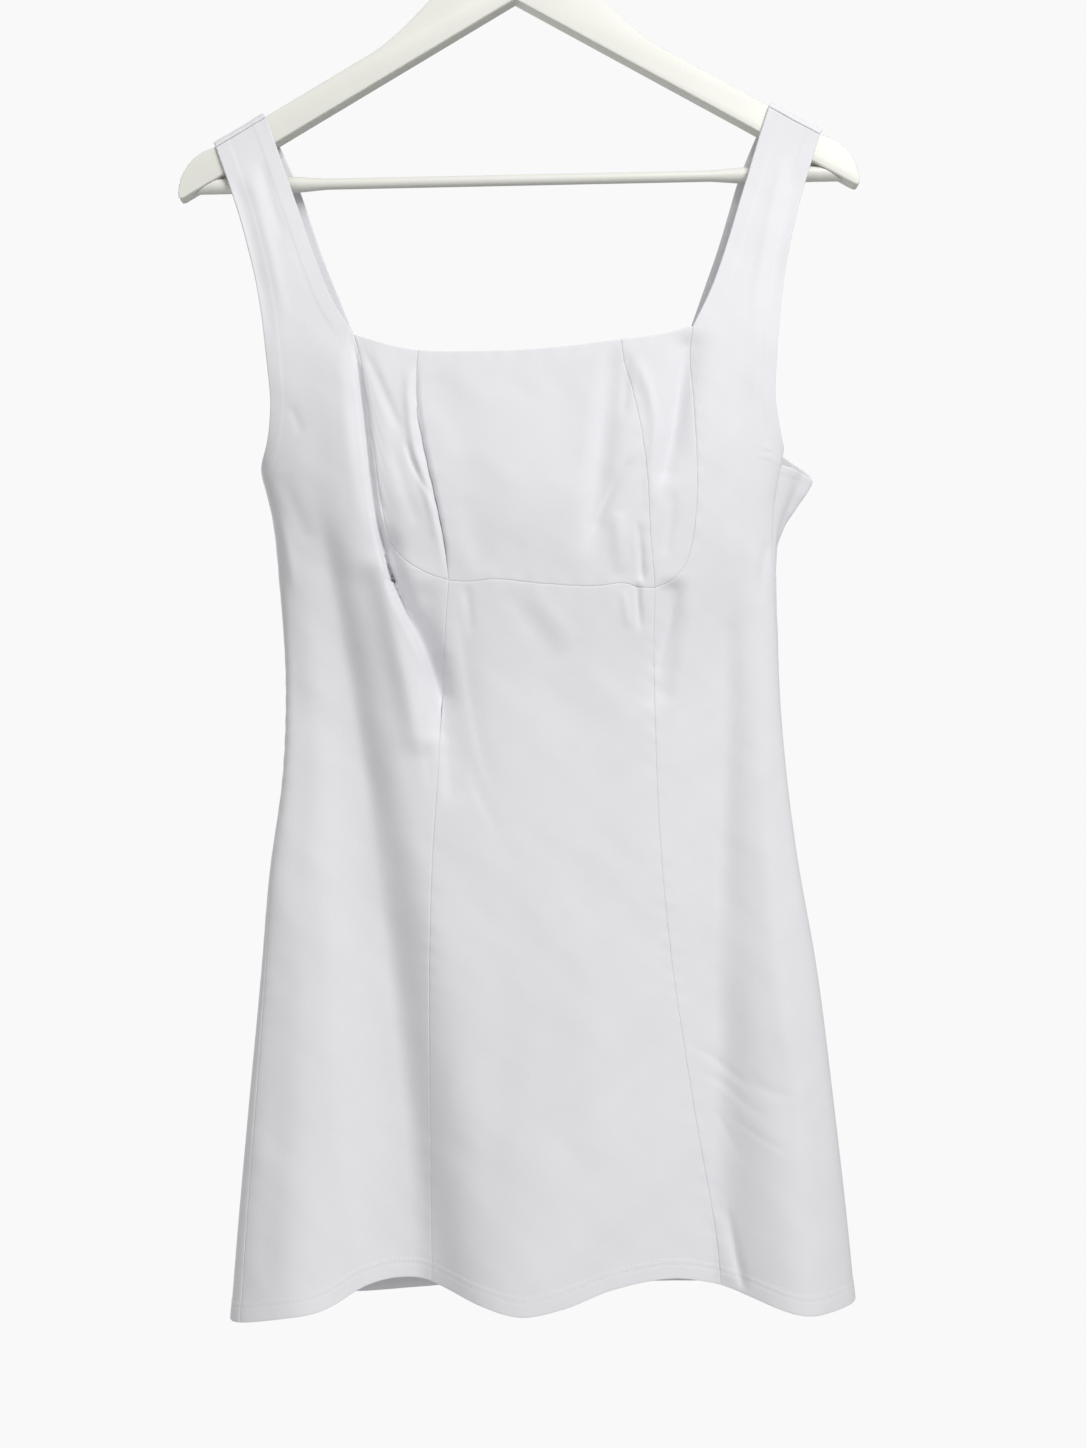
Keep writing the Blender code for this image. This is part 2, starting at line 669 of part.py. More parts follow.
def hanger_arms(surface):
    """The flat hanger: two sloping arms with rounded noses and a humped neck, with a bored top."""
    shoulder = (SHOULDER_X, float(arm_top(SHOULDER_X)))
    nose = (NOSE_X, float(arm_top(NOSE_X)))
    tip = (TIP_X, UNDER_APEX - ARM_SLOPE * TIP_X + 4.5)
    foot = (TIP_FOOT_X, UNDER_APEX - ARM_SLOPE * TIP_FOOT_X)
    half = bezier((0, NECK_TOP), (32, NECK_TOP), (56, -121), shoulder, 12)
    half += [nose]
    half += bezier(nose, (NOSE_X + 16, nose[1] - 4), (TIP_X - 0.4, nose[1] - 17), tip, 8)
    half += bezier(tip, (TIP_X, tip[1] - 3.5), (TIP_X - 1.5, foot[1] - 0.9), foot, 4)
    outline = [(0, NECK_TOP), *half, (0, UNDER_APEX)]
    outline += [(-x, z) for x, z in reversed(half)]
    bm = bmesh.new()
    front = bm.faces.new([bm.verts.new((x, -ARM_DEPTH / 2, z)) for x, z in outline])
    pushed = bmesh.ops.extrude_face_region(bm, geom=[front], use_keep_orig=True)
    verts = [item for item in pushed["geom"] if isinstance(item, bmesh.types.BMVert)]
    bmesh.ops.translate(bm, verts=verts, vec=(0, ARM_DEPTH, 0))
    made = add_object("hanger_arms", bm, surface)
    bevel = made.modifiers.new("rounded edges", "BEVEL")
    bevel.width = ARM_EDGE_ROUND * MM
    bevel.segments = 2
    bevel.limit_method = "ANGLE"
    bevel.angle_limit = math.radians(50)
    bore = bpy.data.objects.new("stem_bore", turned_rod(HOOK_WIRE + SEAT_GAP, STEM_SUNK))
    bpy.context.scene.collection.objects.link(bore)
    bore.hide_render = True
    bore.display_type = "WIRE"
    cut = made.modifiers.new("stem bore", "BOOLEAN")
    cut.operation = "DIFFERENCE"
    cut.object = bore
    return made


def turned_rod(radius, sunk):
    """An upright rod from that far below the neck's top to clear above it, as a mesh."""
    bm = bmesh.new()
    bmesh.ops.create_cone(
        bm, cap_ends=True, segments=20, radius1=radius, radius2=radius, depth=2 * sunk
    )
    bmesh.ops.translate(bm, verts=bm.verts, vec=(0, 0, NECK_TOP))
    bmesh.ops.scale(bm, vec=(MM, MM, MM), verts=bm.verts)
    mesh = bpy.data.meshes.new("rod")
    bm.to_mesh(mesh)
    bm.free()
    return mesh


def hanger_bar(surface):
    """The trouser bar, thicker at its ends, which stop just short of the arms' undersides."""
    slant = math.atan(ARM_SLOPE)

    def end(height):
        return (UNDER_APEX - height) / ARM_SLOPE - SEAT_GAP / math.sin(slant)

    stations = [(None, BAR_END_RADIUS), (BAR_STEP[1], BAR_END_RADIUS), (BAR_STEP[0], BAR_RADIUS)]
    stations = [(-1, *s) for s in stations] + [(1, *s) for s in reversed(stations)]
    bm = bmesh.new()
    rings = []
    for side, across, radius in stations:
        ring = []
        for k in range(BAR_SIDES):
            turn = 2 * math.pi * k / BAR_SIDES
            height = BAR_HEIGHT + radius * math.sin(turn)
            x = side * (end(height) if across is None else across)
            ring.append(bm.verts.new((x, radius * math.cos(turn), height)))
        rings.append([bm.edges.new((a, b)) for a, b in zip(ring, ring[1:] + ring[:1])])
    for first, second in zip(rings, rings[1:]):
        bmesh.ops.bridge_loops(bm, edges=first + second)
    bmesh.ops.holes_fill(bm, edges=rings[0] + rings[-1])
    return add_object("hanger_bar", bm, surface)


def hanger_hook(surface):
    """The wire hook: a stem in the neck's bore, a bend and a long crown with an open mouth."""
    radius = HOOK_INSIDE + HOOK_WIRE
    centre = HOOK_WIRE - radius
    start = math.pi + HOOK_BEND_TURN
    joint = (radius * math.cos(start), centre + radius * math.sin(start))
    shift = joint[0] + HOOK_BEND * (1 - math.cos(HOOK_BEND_TURN))
    stem_top = joint[1] - HOOK_BEND * math.sin(HOOK_BEND_TURN)
    path = [(0, NECK_TOP - STEM_SUNK + SEAT_GAP), (0, stem_top - 4)]
    path += [
        (
            shift * k / BEND_STEPS - HOOK_BEND * (1 - math.cos(HOOK_BEND_TURN * k / BEND_STEPS)),
            stem_top + HOOK_BEND * math.sin(HOOK_BEND_TURN * k / BEND_STEPS),
        )
        for k in range(BEND_STEPS + 1)
    ]
    path += [
        (radius * math.cos(turn), centre + radius * math.sin(turn))
        for turn in np.linspace(start, HOOK_TIP_ANGLE, CROWN_STEPS + 1)[1:]
    ]
    curve = bpy.data.curves.new("hanger_hook", "CURVE")
    curve.dimensions = "3D"
    line = curve.splines.new("POLY")
    line.points.add(len(path) - 1)
    for point, (x, z) in zip(line.points, path):
        point.co = (x * MM, 0, z * MM, 1)
    curve.bevel_depth = HOOK_WIRE * MM
    curve.bevel_resolution = 4
    curve.use_fill_caps = True
    curve.materials.append(surface)
    made = bpy.data.objects.new("hanger_hook", curve)
    bpy.context.scene.collection.objects.link(made)
    return made


def main():
    for old in list(bpy.data.objects):
        bpy.data.objects.remove(old, do_unlink=True)
    crepe = material("white crepe", WHITE_CREPE, 0.75)
    painted = material("painted hanger", HANGER_WHITE, 0.4)
    steel = material("polished steel", STEEL, 0.2, 1.0)
    pieces = [front_skirt(crepe), bust_centre(crepe)]
    for side in (-1, 1):
        pieces += [front_side(side, crepe), bust_side(side, crepe), back(side, crepe)]
    pieces += [hanger_arms(painted), hanger_bar(painted), hanger_hook(steel)]
    held = bpy.data.objects.new("held_by_the_hook", None)
    bpy.context.scene.collection.objects.link(held)
    for piece in pieces:
        piece.parent = held


main()
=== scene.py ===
"""The dress and its hanger as they look: fine cloth, with folds and stitches, on the CAD's form.

Axes are the frame's: +X is the viewer's right, -Y faces the viewer and +Z is up. Sizes here are
millimetres and MM turns them to metres. A place on the cloth is an angle round the dress (0 at
the front, 90 degrees at the viewer's right) and a height, as in the CAD source.
"""

import math

import bmesh
import bpy
import numpy as np
from mathutils import Matrix, Vector


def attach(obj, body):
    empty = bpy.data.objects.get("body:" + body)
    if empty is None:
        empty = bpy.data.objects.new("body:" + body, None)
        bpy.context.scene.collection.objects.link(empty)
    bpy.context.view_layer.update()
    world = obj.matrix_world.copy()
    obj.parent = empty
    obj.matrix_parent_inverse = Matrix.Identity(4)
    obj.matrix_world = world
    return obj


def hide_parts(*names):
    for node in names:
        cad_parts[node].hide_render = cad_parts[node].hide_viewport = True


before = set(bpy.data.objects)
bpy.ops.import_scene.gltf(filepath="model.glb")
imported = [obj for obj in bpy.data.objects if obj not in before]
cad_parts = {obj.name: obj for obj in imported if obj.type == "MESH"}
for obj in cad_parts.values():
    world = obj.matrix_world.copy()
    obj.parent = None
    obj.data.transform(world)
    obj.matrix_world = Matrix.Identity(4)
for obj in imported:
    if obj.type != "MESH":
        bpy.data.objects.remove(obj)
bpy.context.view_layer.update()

MM = 0.001

# Camera: straight on, level with the waist, rolled a little
PHOTO_HEIGHT = 1448
FOCAL_PIXELS = 1674.8
CAMERA_AT = (8.5, -1100.0, -587.0)
CAMERA_ROLL = math.radians(1.2)

# Stage
FLOOR_HEIGHT = -1450.0
FLOOR_RADIUS = 840.0
FLOOR_SIDES = 96
BACKGROUND = "#F9F9F9"
ROOM_LIGHT = 0.31

# Soft boxes: where each one is, what it is aimed at, its width and height, and its watts
LIGHTS = {
    "key": ((1150, -1850, 1050), (0, 0, -420), (1300, 1500), 62),
    "fill": ((-1900, -1500, -300), (0, 0, -600), (1500, 1700), 6.5),
    "bounce": ((100, -1300, -1900), (0, 0, -900), (1600, 1000), 2.6),
    "back": ((-1500, 1800, 300), (0, 0, -560), (1300, 1500), 34),
}

# Cloth
CLOTH = 1.5
SEAT_GAP = 0.3
EDGE_STEPS = 4
EDGE_SHARE = 0.9
LEAST_SLANT = 0.3

# Hanger
ARM_DEPTH = 12.0
ARM_SLOPE = 0.572
ARM_RISE = 20.8
UNDER_APEX = -113.0
ARM_EDGE_ROUND = 1.2
NECK_TOP = -75.0
SHOULDER_X = 92.0
NOSE_X = 198.0
TIP_X = 222.9
TIP_FOOT_X = 219.0
TIP_RISE = 4.5
BAR_HEIGHT = -229.6
BAR_RADIUS = 3.5
BAR_END_RADIUS = 5.0
BAR_STEP = (126.0, 145.0)
BAR_STATION = 60.0
BAR_SIDES = 32
NECK_HANDLES = ((32, NECK_TOP), (56, -121))
NECK_STEPS = 20
NOSE_STEPS = 12
FOOT_STEPS = 4

# Hook
HOOK_WIRE = 2.0
HOOK_INSIDE = 22.0
HOOK_BEND = 12.5
HOOK_BEND_TURN = math.radians(70)
HOOK_TIP_ANGLE = math.radians(-25)
STEM_SUNK = 20.0
WIRE_SIDES = 20
BEND_STEPS = 16
CROWN_STEPS = 90
TIP_ROUND = 0.9

# Shoulder, where the straps cross the arm
STRAP_OUTER_X = 197.0
STRAP_INNER_X = 164.0
ARCH_FOOT = -1.2
ARCH_RISE = 3.8
ARCH_STEPS = 28

# Heights where the rows of the grids change, and the grids' rows and columns
SKIRT_TOP = -494.8
CUP_TOP = -458.0
RIGHT_UNDERARM_DROP = 7.0
SKIRT_ROWS = 190
HEM_ROWS = 18
HEM_BAND = 18.0
CUP_BASE_STEPS = 30
BUST_ROWS = 96
UNDERARM_ROWS = 24
STRAP_ROWS = 84
CENTRE_STEPS = 96
SIDE_STEPS = 74
SIDE_CROWD = 0.38
CUP_STEPS = 36
BACK_STRAP_STEPS = 26
BACK_NECK_STEPS = 40
BACK_NECK_ROWS = 26
BACK_STRAP_ROWS = 110

CREPE_WHITE = "#E3E2E5"
CREPE_SHADE = "#DDDCE0"
PAINT_WHITE = "#E5E5DE"
PAINT_SHADE = "#DFDFD7"
STEEL_GREY = "#B9BABD"


def table(columns, *rows):
    """Named columns from rows of values."""
    return {name: np.array(values, float) for name, values in zip(columns.split(), zip(*rows))}


# The ring at each height: its sides seen from the front, the depth at which front and back meet,
# how far the front and the back stand out from there, and how round the ring is
SECTIONS = table(
    "height left right side front back round",
    (-975, -204, 205, 0, 50, 42, 0.62),
    (-905, -197, 199.5, 0, 46, 36, 0.62),
    (-845, -190.5, 194, 0, 42, 32, 0.62),
    (-745, -179.2, 183.5, 0, 36, 26, 0.62),
    (-680, -172.4, 173.5, 0, 33, 23, 0.62),
    (-615, -162.4, 166.6, 0, 31, 21, 0.62),
    (-560, -159.5, 163.8, 1, 33, 21, 0.62),
    (-495, -162, 164.3, 2, 42, 22, 0.62),
    (-445, -166.5, 166, 2, 47, 23, 0.60),
    (-425, -171, 170, 2, 47, 23, 0.58),
    (-385, -178, 178, 1, 43, 23, 0.52),
    (-345, -190, 190, 0, 37, 22, 0.46),
    (-300, -204, 204, 0, 26, 18, 0.36),
    (-270, -215, 215, 0, 18.5, 14.5, 0.26),
    (-240, -229, 229, 0, 12, 11, 0.16),
    (-215, -240, 240, 0, 8.6, 8.6, 0.09),
    (-185, -252, 252, 0, 8.2, 8.2, 0.07),
)

# The cloth's tip under the right arm, and the tuck between it and the front's edge
EAR = table("height reach", (-490, 0), (-471, 3), (-456, 10), (-443, 18), (-432, 23), (-400, 16))
EAR_ANGLE = math.radians(98)
EAR_SPREAD = math.radians(9)
TUCK = table("height reach", (-530, 0), (-500, 4), (-440, 9), (-400, 7), (-375, 0))
TUCK_ANGLE = math.radians(84)
TUCK_SPREAD = math.radians(4)

# Height of the hem's edge by the place across, on the front and on the back
FRONT_HEM = table(
    "across height",
    (-204, -970), (-165, -962), (-136, -957), (-112, -946), (-84, -943), (-62, -947),
    (-38, -953), (-14, -958), (12, -955), (45, -947), (84, -945.5), (110, -951),
    (135, -957), (166, -965), (205, -965),
)
BACK_HEM = table(
    "across height",
    (-204, -970), (-140, -968), (-80, -961), (-25, -967), (40, -966), (95, -960), (150, -966),
    (205, -965),
)

# Side seams, as angles round the ring in degrees
SIDE_SEAMS = table(
    "height left right",
    (-975, -73, 104), (-740, -78, 100), (-615, -84, 98), (-495, -88, 97), (-425, -90, 98),
)

# The seams between the front's centre and its sides, across at each height
FRONT_SEAMS = table(
    "height left right",
    (-965, -71, 117), (-925, -70.5, 114), (-845, -69.5, 102), (-795, -68.8, 95), (-740, -67.5, 88),
    (-670, -64, 82.5), (-600, -58, 80.5), (-540, -54, 80.7), (-502, -50.2, 81.5),
    (-494.8, -49.3, 81.8),
)

# Seams and edges of the bust, as places across and up, from the seam under the bust
CUP_BASE_LEFT = table(
    "across height", (-49.3, -494.8), (-62.7, -490), (-74, -483.4), (-82.1, -475.6), (-87.6, -465.9)
)
CUP_BASE_RIGHT = table(
    "across height", (81.5, -502), (91, -498.3), (99, -491), (104.3, -480), (107.2, -465.6)
)
CUP_SIDE_LEFT = table(
    "across height",
    (-87.6, -465.9), (-91.6, -442.3), (-95.4, -410.4), (-99.8, -378.5), (-103.6, -350),
    (-107, -336),
)
CUP_SIDE_RIGHT = table(
    "across height",
    (107.2, -465.6), (109.4, -445), (109.5, -414.7), (108.3, -382.8), (107.3, -350), (109.4, -335),
)
BUST_SEAM_LEFT = table(
    "across height",
    (-49.3, -494.8), (-51.9, -468.8), (-56.5, -443.3), (-63, -411.4), (-67, -388), (-67.5, -365),
    (-66, -347.6),
)
BUST_SEAM_RIGHT = table(
    "across height",
    (81.5, -502), (79, -465.2), (77.8, -432.8), (74.7, -401.6), (69.5, -376), (64.5, -356),
    (63, -343.4),
)
UNDER_BUST = table(
    "across height",
    (-49.3, -494.8), (-36, -495.8), (-23, -494.6), (8.5, -498), (46.5, -500.1), (62.5, -498.8),
    (72, -501.5), (81.5, -502),
)
NECK_EDGE = table(
    "across height",
    (-107, -336), (-78, -345.4), (-66, -347.6), (-27, -349.5), (5, -349), (36.5, -346.5),
    (63, -343.4), (88, -340.6), (109.4, -335),
)

# Edges of the straps and armholes on the viewer's right; the left ones mirror them
FRONT_OUTER = table(
    "across height",
    (166, -404), (162.5, -383), (163.5, -355), (166.5, -325), (171, -297), (177, -271),
    (183, -249), (189.5, -229),
)
FRONT_INNER = table(
    "across height", (121.5, -311), (133.5, -279.5), (143.5, -249), (150.5, -228), (158, -205)
)
BACK_OUTER = table(
    "across height",
    (163, -404), (160, -378), (161.5, -345), (166, -309), (172, -282), (179.5, -255), (189.5, -229),
)
BACK_INNER = table(
    "across height",
    (96, -371), (103, -350), (112, -326), (121, -302), (131, -275), (139, -250), (145, -231),
    (157, -203),
)
BACK_NECK_HEIGHT = -373.0
BACK_CENTRE_ANGLE = table("height angle", (-975, -187), (-740, -184), (-373, -180))

# Large folds: where each begins and ends, its place across at the top, middle and end, its
# half width at the top and end on the viewer's right, how many times as wide it is on the left,
# and how far it stands out at the top, middle and end
FOLD_COLUMNS = "top end x_top x_mid x_end wide_top wide_end skew out_top out_mid out_end"
FRONT_FOLDS = table(
    FOLD_COLUMNS,
    (-420, -1020, -138, -98, -78, 8, 35, 1.9, -2, -18, -34),
    (-560, -1020, -140, -146, -155, 18, 28, 1, 0, 2, 6),
    (-600, -1020, 0, -2, -12, 46, 36, 1, 0, 2, 6),
    (-470, -1020, 130, 117, 108, 9, 32, 2.2, -3, -14, -34),
    (-640, -1020, 158, 164, 170, 18, 22, 1, 0, 3, 8),
    (-330, -490, -106, -96, -84, 7, 8, 1, -1, -2, -1),
    (-330, -500, -119, -113, -100, 14, 14, 1, 1, 2, 2),
    (-336, -440, 108, 99, 88, 9, 9, 1, -3, -4, -2),
    (-492, -600, -66, -61, -58, 8, 8, 1, -2, -3, -1),
    (-470, -610, -92, -80, -68, 12, 11, 1, 2, 5, 2),
    (-494, -580, 93, 88, 82, 8, 9, 1, -3, -4, -1),
)
BACK_FOLDS = table(
    FOLD_COLUMNS,
    (-480, -1020, -70, -78, -84, 12, 34, 1.5, -2, -10, -22),
    (-520, -1020, 84, 92, 96, 12, 34, 1.4, -2, -10, -24),
    (-600, -1020, 0, 4, 8, 40, 38, 1, 0, 3, 9),
    (-560, -1020, 148, 152, 158, 16, 26, 1, 0, 3, 9),
    (-560, -1020, -140, -146, -152, 16, 26, 1, 0, 3, 9),
    (-400, -560, 30, 20, 14, 12, 12, 1, -1, -3, -1),
)
FOLD_FADE = 0.12
EDGE_FADE = 0.35

# Creases: half width on the viewer's left and right of a path that runs down, how far each
# stands out (minus: a trough) at its start, middle and end, and its path across and up
CREASE_FADE = 0.16
CREASE_REACH = 2.6
CREASE_STEPS = 6
FRONT_CREASES = (
    # soft lines in the large trough that runs from the left cup down to the hem
    (8, 7, -0.2, -0.8, -0.8, ((-130, -440), (-122, -500), (-112, -577), (-100, -654))),
    (9, 9, -0.5, -1.0, -0.4, ((-97, -680), (-88, -760), (-80, -830), (-70, -900), (-64, -945))),
    # the ridge between that trough and the seam, and the valley under its rolled edge
    (7, 4, 0.3, 1.0, 0.3, ((-100, -470), (-85, -528), (-74, -585), (-67, -640))),
    (
        1.9, 8, -6, -11.5, -0.2,
        (
            (-95, -452), (-91, -471), (-87, -488), (-80, -508), (-72, -526), (-64, -544),
            (-58, -565), (-54, -588),
        ),
    ),
    (6, 16, 0, -3, 0, ((-66, -535), (-58, -570), (-53, -600), (-49, -645))),
    (4, 2, 0.4, 1.2, 0.4, ((-95, -462), (-88, -480), (-79, -505), (-70, -532), (-61, -562))),
    # the right panel's edge under the cup
    (5, 3, -0.4, -1.3, -0.4, ((98, -499), (93.5, -516), (89, -530), (85, -545), (82, -560))),
    (5, 5, 0.2, 0.7, 0.2, ((108, -500), (102, -530), (96, -560), (92, -600))),
    # soft lines in the trough of the right panel and its ridge
    (7, 8, -0.3, -0.8, -0.4, ((128, -498), (130, -560), (128, -637), (122, -726))),
    (9, 9, -0.4, -1.0, -0.6, ((120, -740), (122, -845), (124, -894), (124, -940))),
    (8, 8, 0.4, 1.3, 0.6, ((153, -510), (151, -639), (154, -737), (170, -855), (172, -930))),
    # the pinch at the right seam's hem
    (2.6, 2.6, -0.4, -2.0, -2.6, ((121, -900), (126, -930), (131, -956))),
    (4, 4, 0.3, 1.2, 1.2, ((113, -900), (118, -930), (121, -952))),
    # small tucks under and over the seam below the bust
    (1.6, 2.4, -1.8, -2.2, -0.4, ((69.5, -497), (70.2, -511), (71.5, -530))),
    (1.8, 2.4, -0.4, -1.8, -1.6, ((71, -458), (72.3, -478), (73.5, -500))),
    (3, 2, 0.4, 1.0, 0.3, ((61, -502), (63, -514), (65, -528))),
    (3, 3, -0.6, -0.9, -0.2, ((-39, -497), (-37, -512), (-36, -530))),
    # the right cup: a valley that rises to the bust seam, and a sharp crease across it
    (
        6, 9, -1.6, -4.0, -1.4,
        (
            (60, -340), (54, -376), (50, -404), (47, -428), (43, -458), (41, -484),
        ),
    ),
    (1.4, 4, -0.6, -1.5, -0.4, ((69, -418), (62, -428), (54, -441), (46, -457), (41, -468))),
    (3, 3, -0.3, -1.0, -0.3, ((66, -350), (66, -372), (63, -396))),
    (4, 3.4, 0.4, 1.6, 0.4, ((70, -350), (78, -371), (83.4, -396), (81, -428), (80, -456))),
    (3.4, 5, -0.8, -2.0, -0.5, ((107, -340), (101, -370), (96, -400), (89, -430), (85, -455))),
    (5, 5, 0.5, 1.4, 0.4, ((58, -452), (59, -470), (60, -494))),
    (3, 3, -0.2, -0.9, -0.3, ((95, -440), (92, -462), (88, -484))),
    # the left cup: the deep valley outside it, the pinched bust seam and the crescent beside it
    (
        1.7, 1.8, -3, -4.5, -2,
        (
            (-108, -334), (-105, -356), (-102, -382), (-99, -412), (-96, -443), (-92, -468),
            (-88, -486), (-80, -508), (-71, -528), (-63, -546),
        ),
    ),
    (5, 4, 0.2, 0.6, 0.2, ((-116, -345), (-112, -390), (-108, -430), (-100, -468))),
    (
        1.5, 1.3, -1.2, -2.6, -1.4,
        (
            (-66.5, -350), (-67.5, -375), (-64, -405), (-57, -441), (-52, -470), (-49.5, -494),
        ),
    ),
    (
        3, 2.6, 0.4, 1.5, 0.4,
        (
            (-72, -352), (-72.5, -378), (-70, -405), (-64, -430), (-58, -455), (-54, -480),
        ),
    ),
    (1.6, 2.4, -0.4, -1.3, -0.3, ((-75, -403), (-72, -417), (-65, -432), (-56, -446))),
    (3.4, 3, -0.5, -1.2, -0.3, ((-100, -346), (-94, -360), (-86, -380), (-77, -402))),
    (3, 16, 0.6, 2.2, 0.8, ((-101, -345), (-97, -372), (-94, -400), (-91, -430), (-85, -458))),
    (4, 4, -0.2, -0.7, -0.2, ((-84, -404), (-76, -436), (-66, -464))),
    # the bust's soft middle
    (9, 12, -0.3, -1.0, -0.2, ((-63, -362), (-54, -378), (-40, -404), (-32, -420))),
    (16, 20, -0.2, -0.9, -0.2, ((34, -352), (28, -390), (16, -440))),
    (14, 16, 0.2, 0.8, 0.2, ((-14, -365), (-14, -420), (-10, -478))),
    (7, 10, -0.2, -0.8, -0.4, ((-40, -440), (-33, -466), (-26, -492))),
    # folds of the front skirt under the bust
    (3, 6, -0.2, -0.7, -0.1, ((-44, -508), (-41, -540), (-37, -572), (-31, -605), (-22, -634))),
    (3, 6, -0.2, -0.5, -0.1, ((-40, -612), (-32, -634), (-19, -660))),
    (9, 9, -0.3, -1.1, -0.3, ((-14, -498), (-7, -510), (8, -531), (22, -554))),
    (8, 8, 0.2, 0.8, 0.2, ((2, -502), (14, -516), (30, -540))),
    (6, 6, -0.2, -0.6, -0.2, ((70, -604), (50, -636), (28, -670))),
    (16, 16, 0.2, 1.2, 0.8, ((28, -690), (36, -800), (50, -930))),
    (14, 14, -0.2, -1.0, -0.8, ((-16, -700), (-24, -820), (-36, -940))),
    # wrinkles of the right panel, above its hem
    (1.8, 3.2, -0.1, -0.55, -0.1, ((93, -796), (107, -801), (128, -817), (150, -829))),
    (1.8, 3.0, -0.1, -0.45, -0.1, ((101, -812), (118, -821), (136, -836), (152, -843))),
    (2.2, 3.4, -0.1, -0.5, -0.1, ((132, -812), (150, -826), (170, -829))),
    (1.8, 3.0, -0.1, -0.5, -0.1, ((122, -842), (141, -854), (165, -867))),
    (2.0, 2.8, -0.1, -0.35, -0.1, ((112, -836), (121, -852), (132, -874))),
    # long soft lines of the left panel
    (9, 9, 0.2, 0.9, 0.5, ((-135, -560), (-134, -700), (-131, -820), (-120, -945))),
    (8, 8, -0.2, -0.9, -0.4, ((-150, -480), (-149, -600), (-156, -720))),
    (10, 10, -0.2, -0.8, -0.8, ((-160, -700), (-168, -820), (-176, -950))),
    # straps: long creases down from the shoulder
    (4, 5, -0.6, -1.1, -0.2, ((-186, -221), (-178, -252), (-168, -296), (-158, -345))),
    (4, 4, 0.5, 0.8, 0.2, ((-176, -219), (-168, -250), (-158, -290), (-150, -330))),
    (3.4, 3.4, -0.5, -0.7, -0.2, ((-169, -213), (-162, -240), (-152, -272))),
    (3, 3, -0.2, -0.5, -0.2, ((-149, -379), (-145, -389), (-141, -400))),
    (4, 5, -0.5, -1.0, -0.2, ((183, -220), (176, -250), (166, -292), (155, -345))),
    (4, 4, 0.5, 0.8, 0.2, ((175, -216), (166, -248), (156, -290), (146, -340))),
    (5, 6, -0.2, -0.9, -0.2, ((146, -330), (140, -380), (134, -440), (134, -500))),
    # under the arms
    (6, 6, -0.2, -1.0, -0.3, ((-158, -420), (-150, -440), (-140, -470))),
    (4, 4, 0.2, 0.9, 0.2, ((-160, -446), (-154, -470), (-150, -500))),
    (3, 3, -0.3, -1.0, -0.3, ((156, -470), (152, -490), (150, -515))),
)
BACK_CREASES = (
    (7, 7, -0.4, -1.3, -0.6, ((-60, -470), (-66, -560), (-74, -680), (-80, -800))),
    (8, 7, -0.5, -1.4, -1.0, ((-78, -780), (-84, -860), (-88, -950))),
    (7, 7, -0.4, -1.3, -0.6, ((78, -480), (84, -580), (90, -700), (95, -820))),
    (7, 8, -0.5, -1.5, -1.2, ((94, -800), (98, -870), (96, -955))),
    (5, 4, -0.3, -1.2, -0.3, ((118, -420), (112, -450), (100, -478), (84, -496))),
    (5, 5, 0.2, 0.9, 0.2, ((122, -436), (114, -470), (100, -498))),
    (4, 5, -0.3, -1.1, -0.3, ((-122, -430), (-112, -462), (-96, -490), (-80, -504))),
    (5, 5, 0.2, 0.8, 0.2, ((-126, -446), (-116, -480), (-100, -508))),
    (4, 4, -0.3, -1.0, -0.3, ((22, -500), (10, -528), (-14, -552))),
    (5, 5, -0.2, -0.8, -0.2, ((-30, -520), (-16, -548), (10, -570))),
    (9, 9, 0.2, 1.0, 0.6, ((-30, -640), (-34, -780), (-40, -930))),
    (9, 9, 0.2, 0.9, 0.5, ((42, -620), (46, -760), (52, -920))),
    (8, 9, -0.2, -0.8, -0.3, ((140, -520), (144, -640), (150, -780))),
    (8, 8, -0.2, -0.8, -0.3, ((-142, -540), (-146, -660), (-154, -800))),
    (3, 3, -0.2, -0.8, -0.2, ((108, -812), (124, -824), (142, -826))),
    (3, 3, -0.2, -0.7, -0.2, ((-118, -836), (-134, -850), (-152, -852))),
    (4, 4, -0.5, -1.0, -0.2, ((184, -222), (176, -254), (164, -300), (150, -350))),
    (4, 4, 0.4, 0.8, 0.2, ((174, -216), (164, -250), (150, -296), (136, -340))),
    (4, 4, -0.5, -1.0, -0.2, ((-182, -222), (-174, -256), (-162, -302), (-148, -350))),
    (4, 4, 0.4, 0.8, 0.2, ((-172, -216), (-162, -250), (-148, -296), (-134, -340))),
)

# Soft unevenness of the whole cloth: wave lengths across and up, a shift and a height
WAVES = table(
    "across up shift out",
    (83, 142, 0.4, 0.35),
    (57, 96, 2.1, 0.25),
    (37, 61, 4.4, 0.14),
    (23, 47, 1.3, 0.08),
)
WAVE_DRIFT = 1.7
WAVE_STRETCH = 1.6

# Sewing
PUCKER = 0.16
PUCKER_LENGTH = 14.0
PUCKER_DRIFT = (31.0, 47.0)
PUCKER_UNEVEN = 2.2
PUCKER_REACH = 7.0
TURNED_BAND = 9.5
TURNED_RAISE = 0.22
TURNED_STEP = 2.4
TURNED_FADE_ROWS = 14
HEM_TURN = 13.0
HEM_RAISE = 0.4
HEM_STEP = 1.2
HEM_PUCKER = 0.6
HEM_STITCH_ROWS = (9.4, 12.4)
HEM_STITCH_LENGTH = 2.2
HEM_STITCH_SPACING = 3.0
HEM_STITCH_WIDTH = 0.5
HEM_STITCH_SINK = 0.3
HEM_STITCH_GROOVE = 0.9
HEM_STITCH_LIFT = 0.1
HEM_SAMPLES = 4001

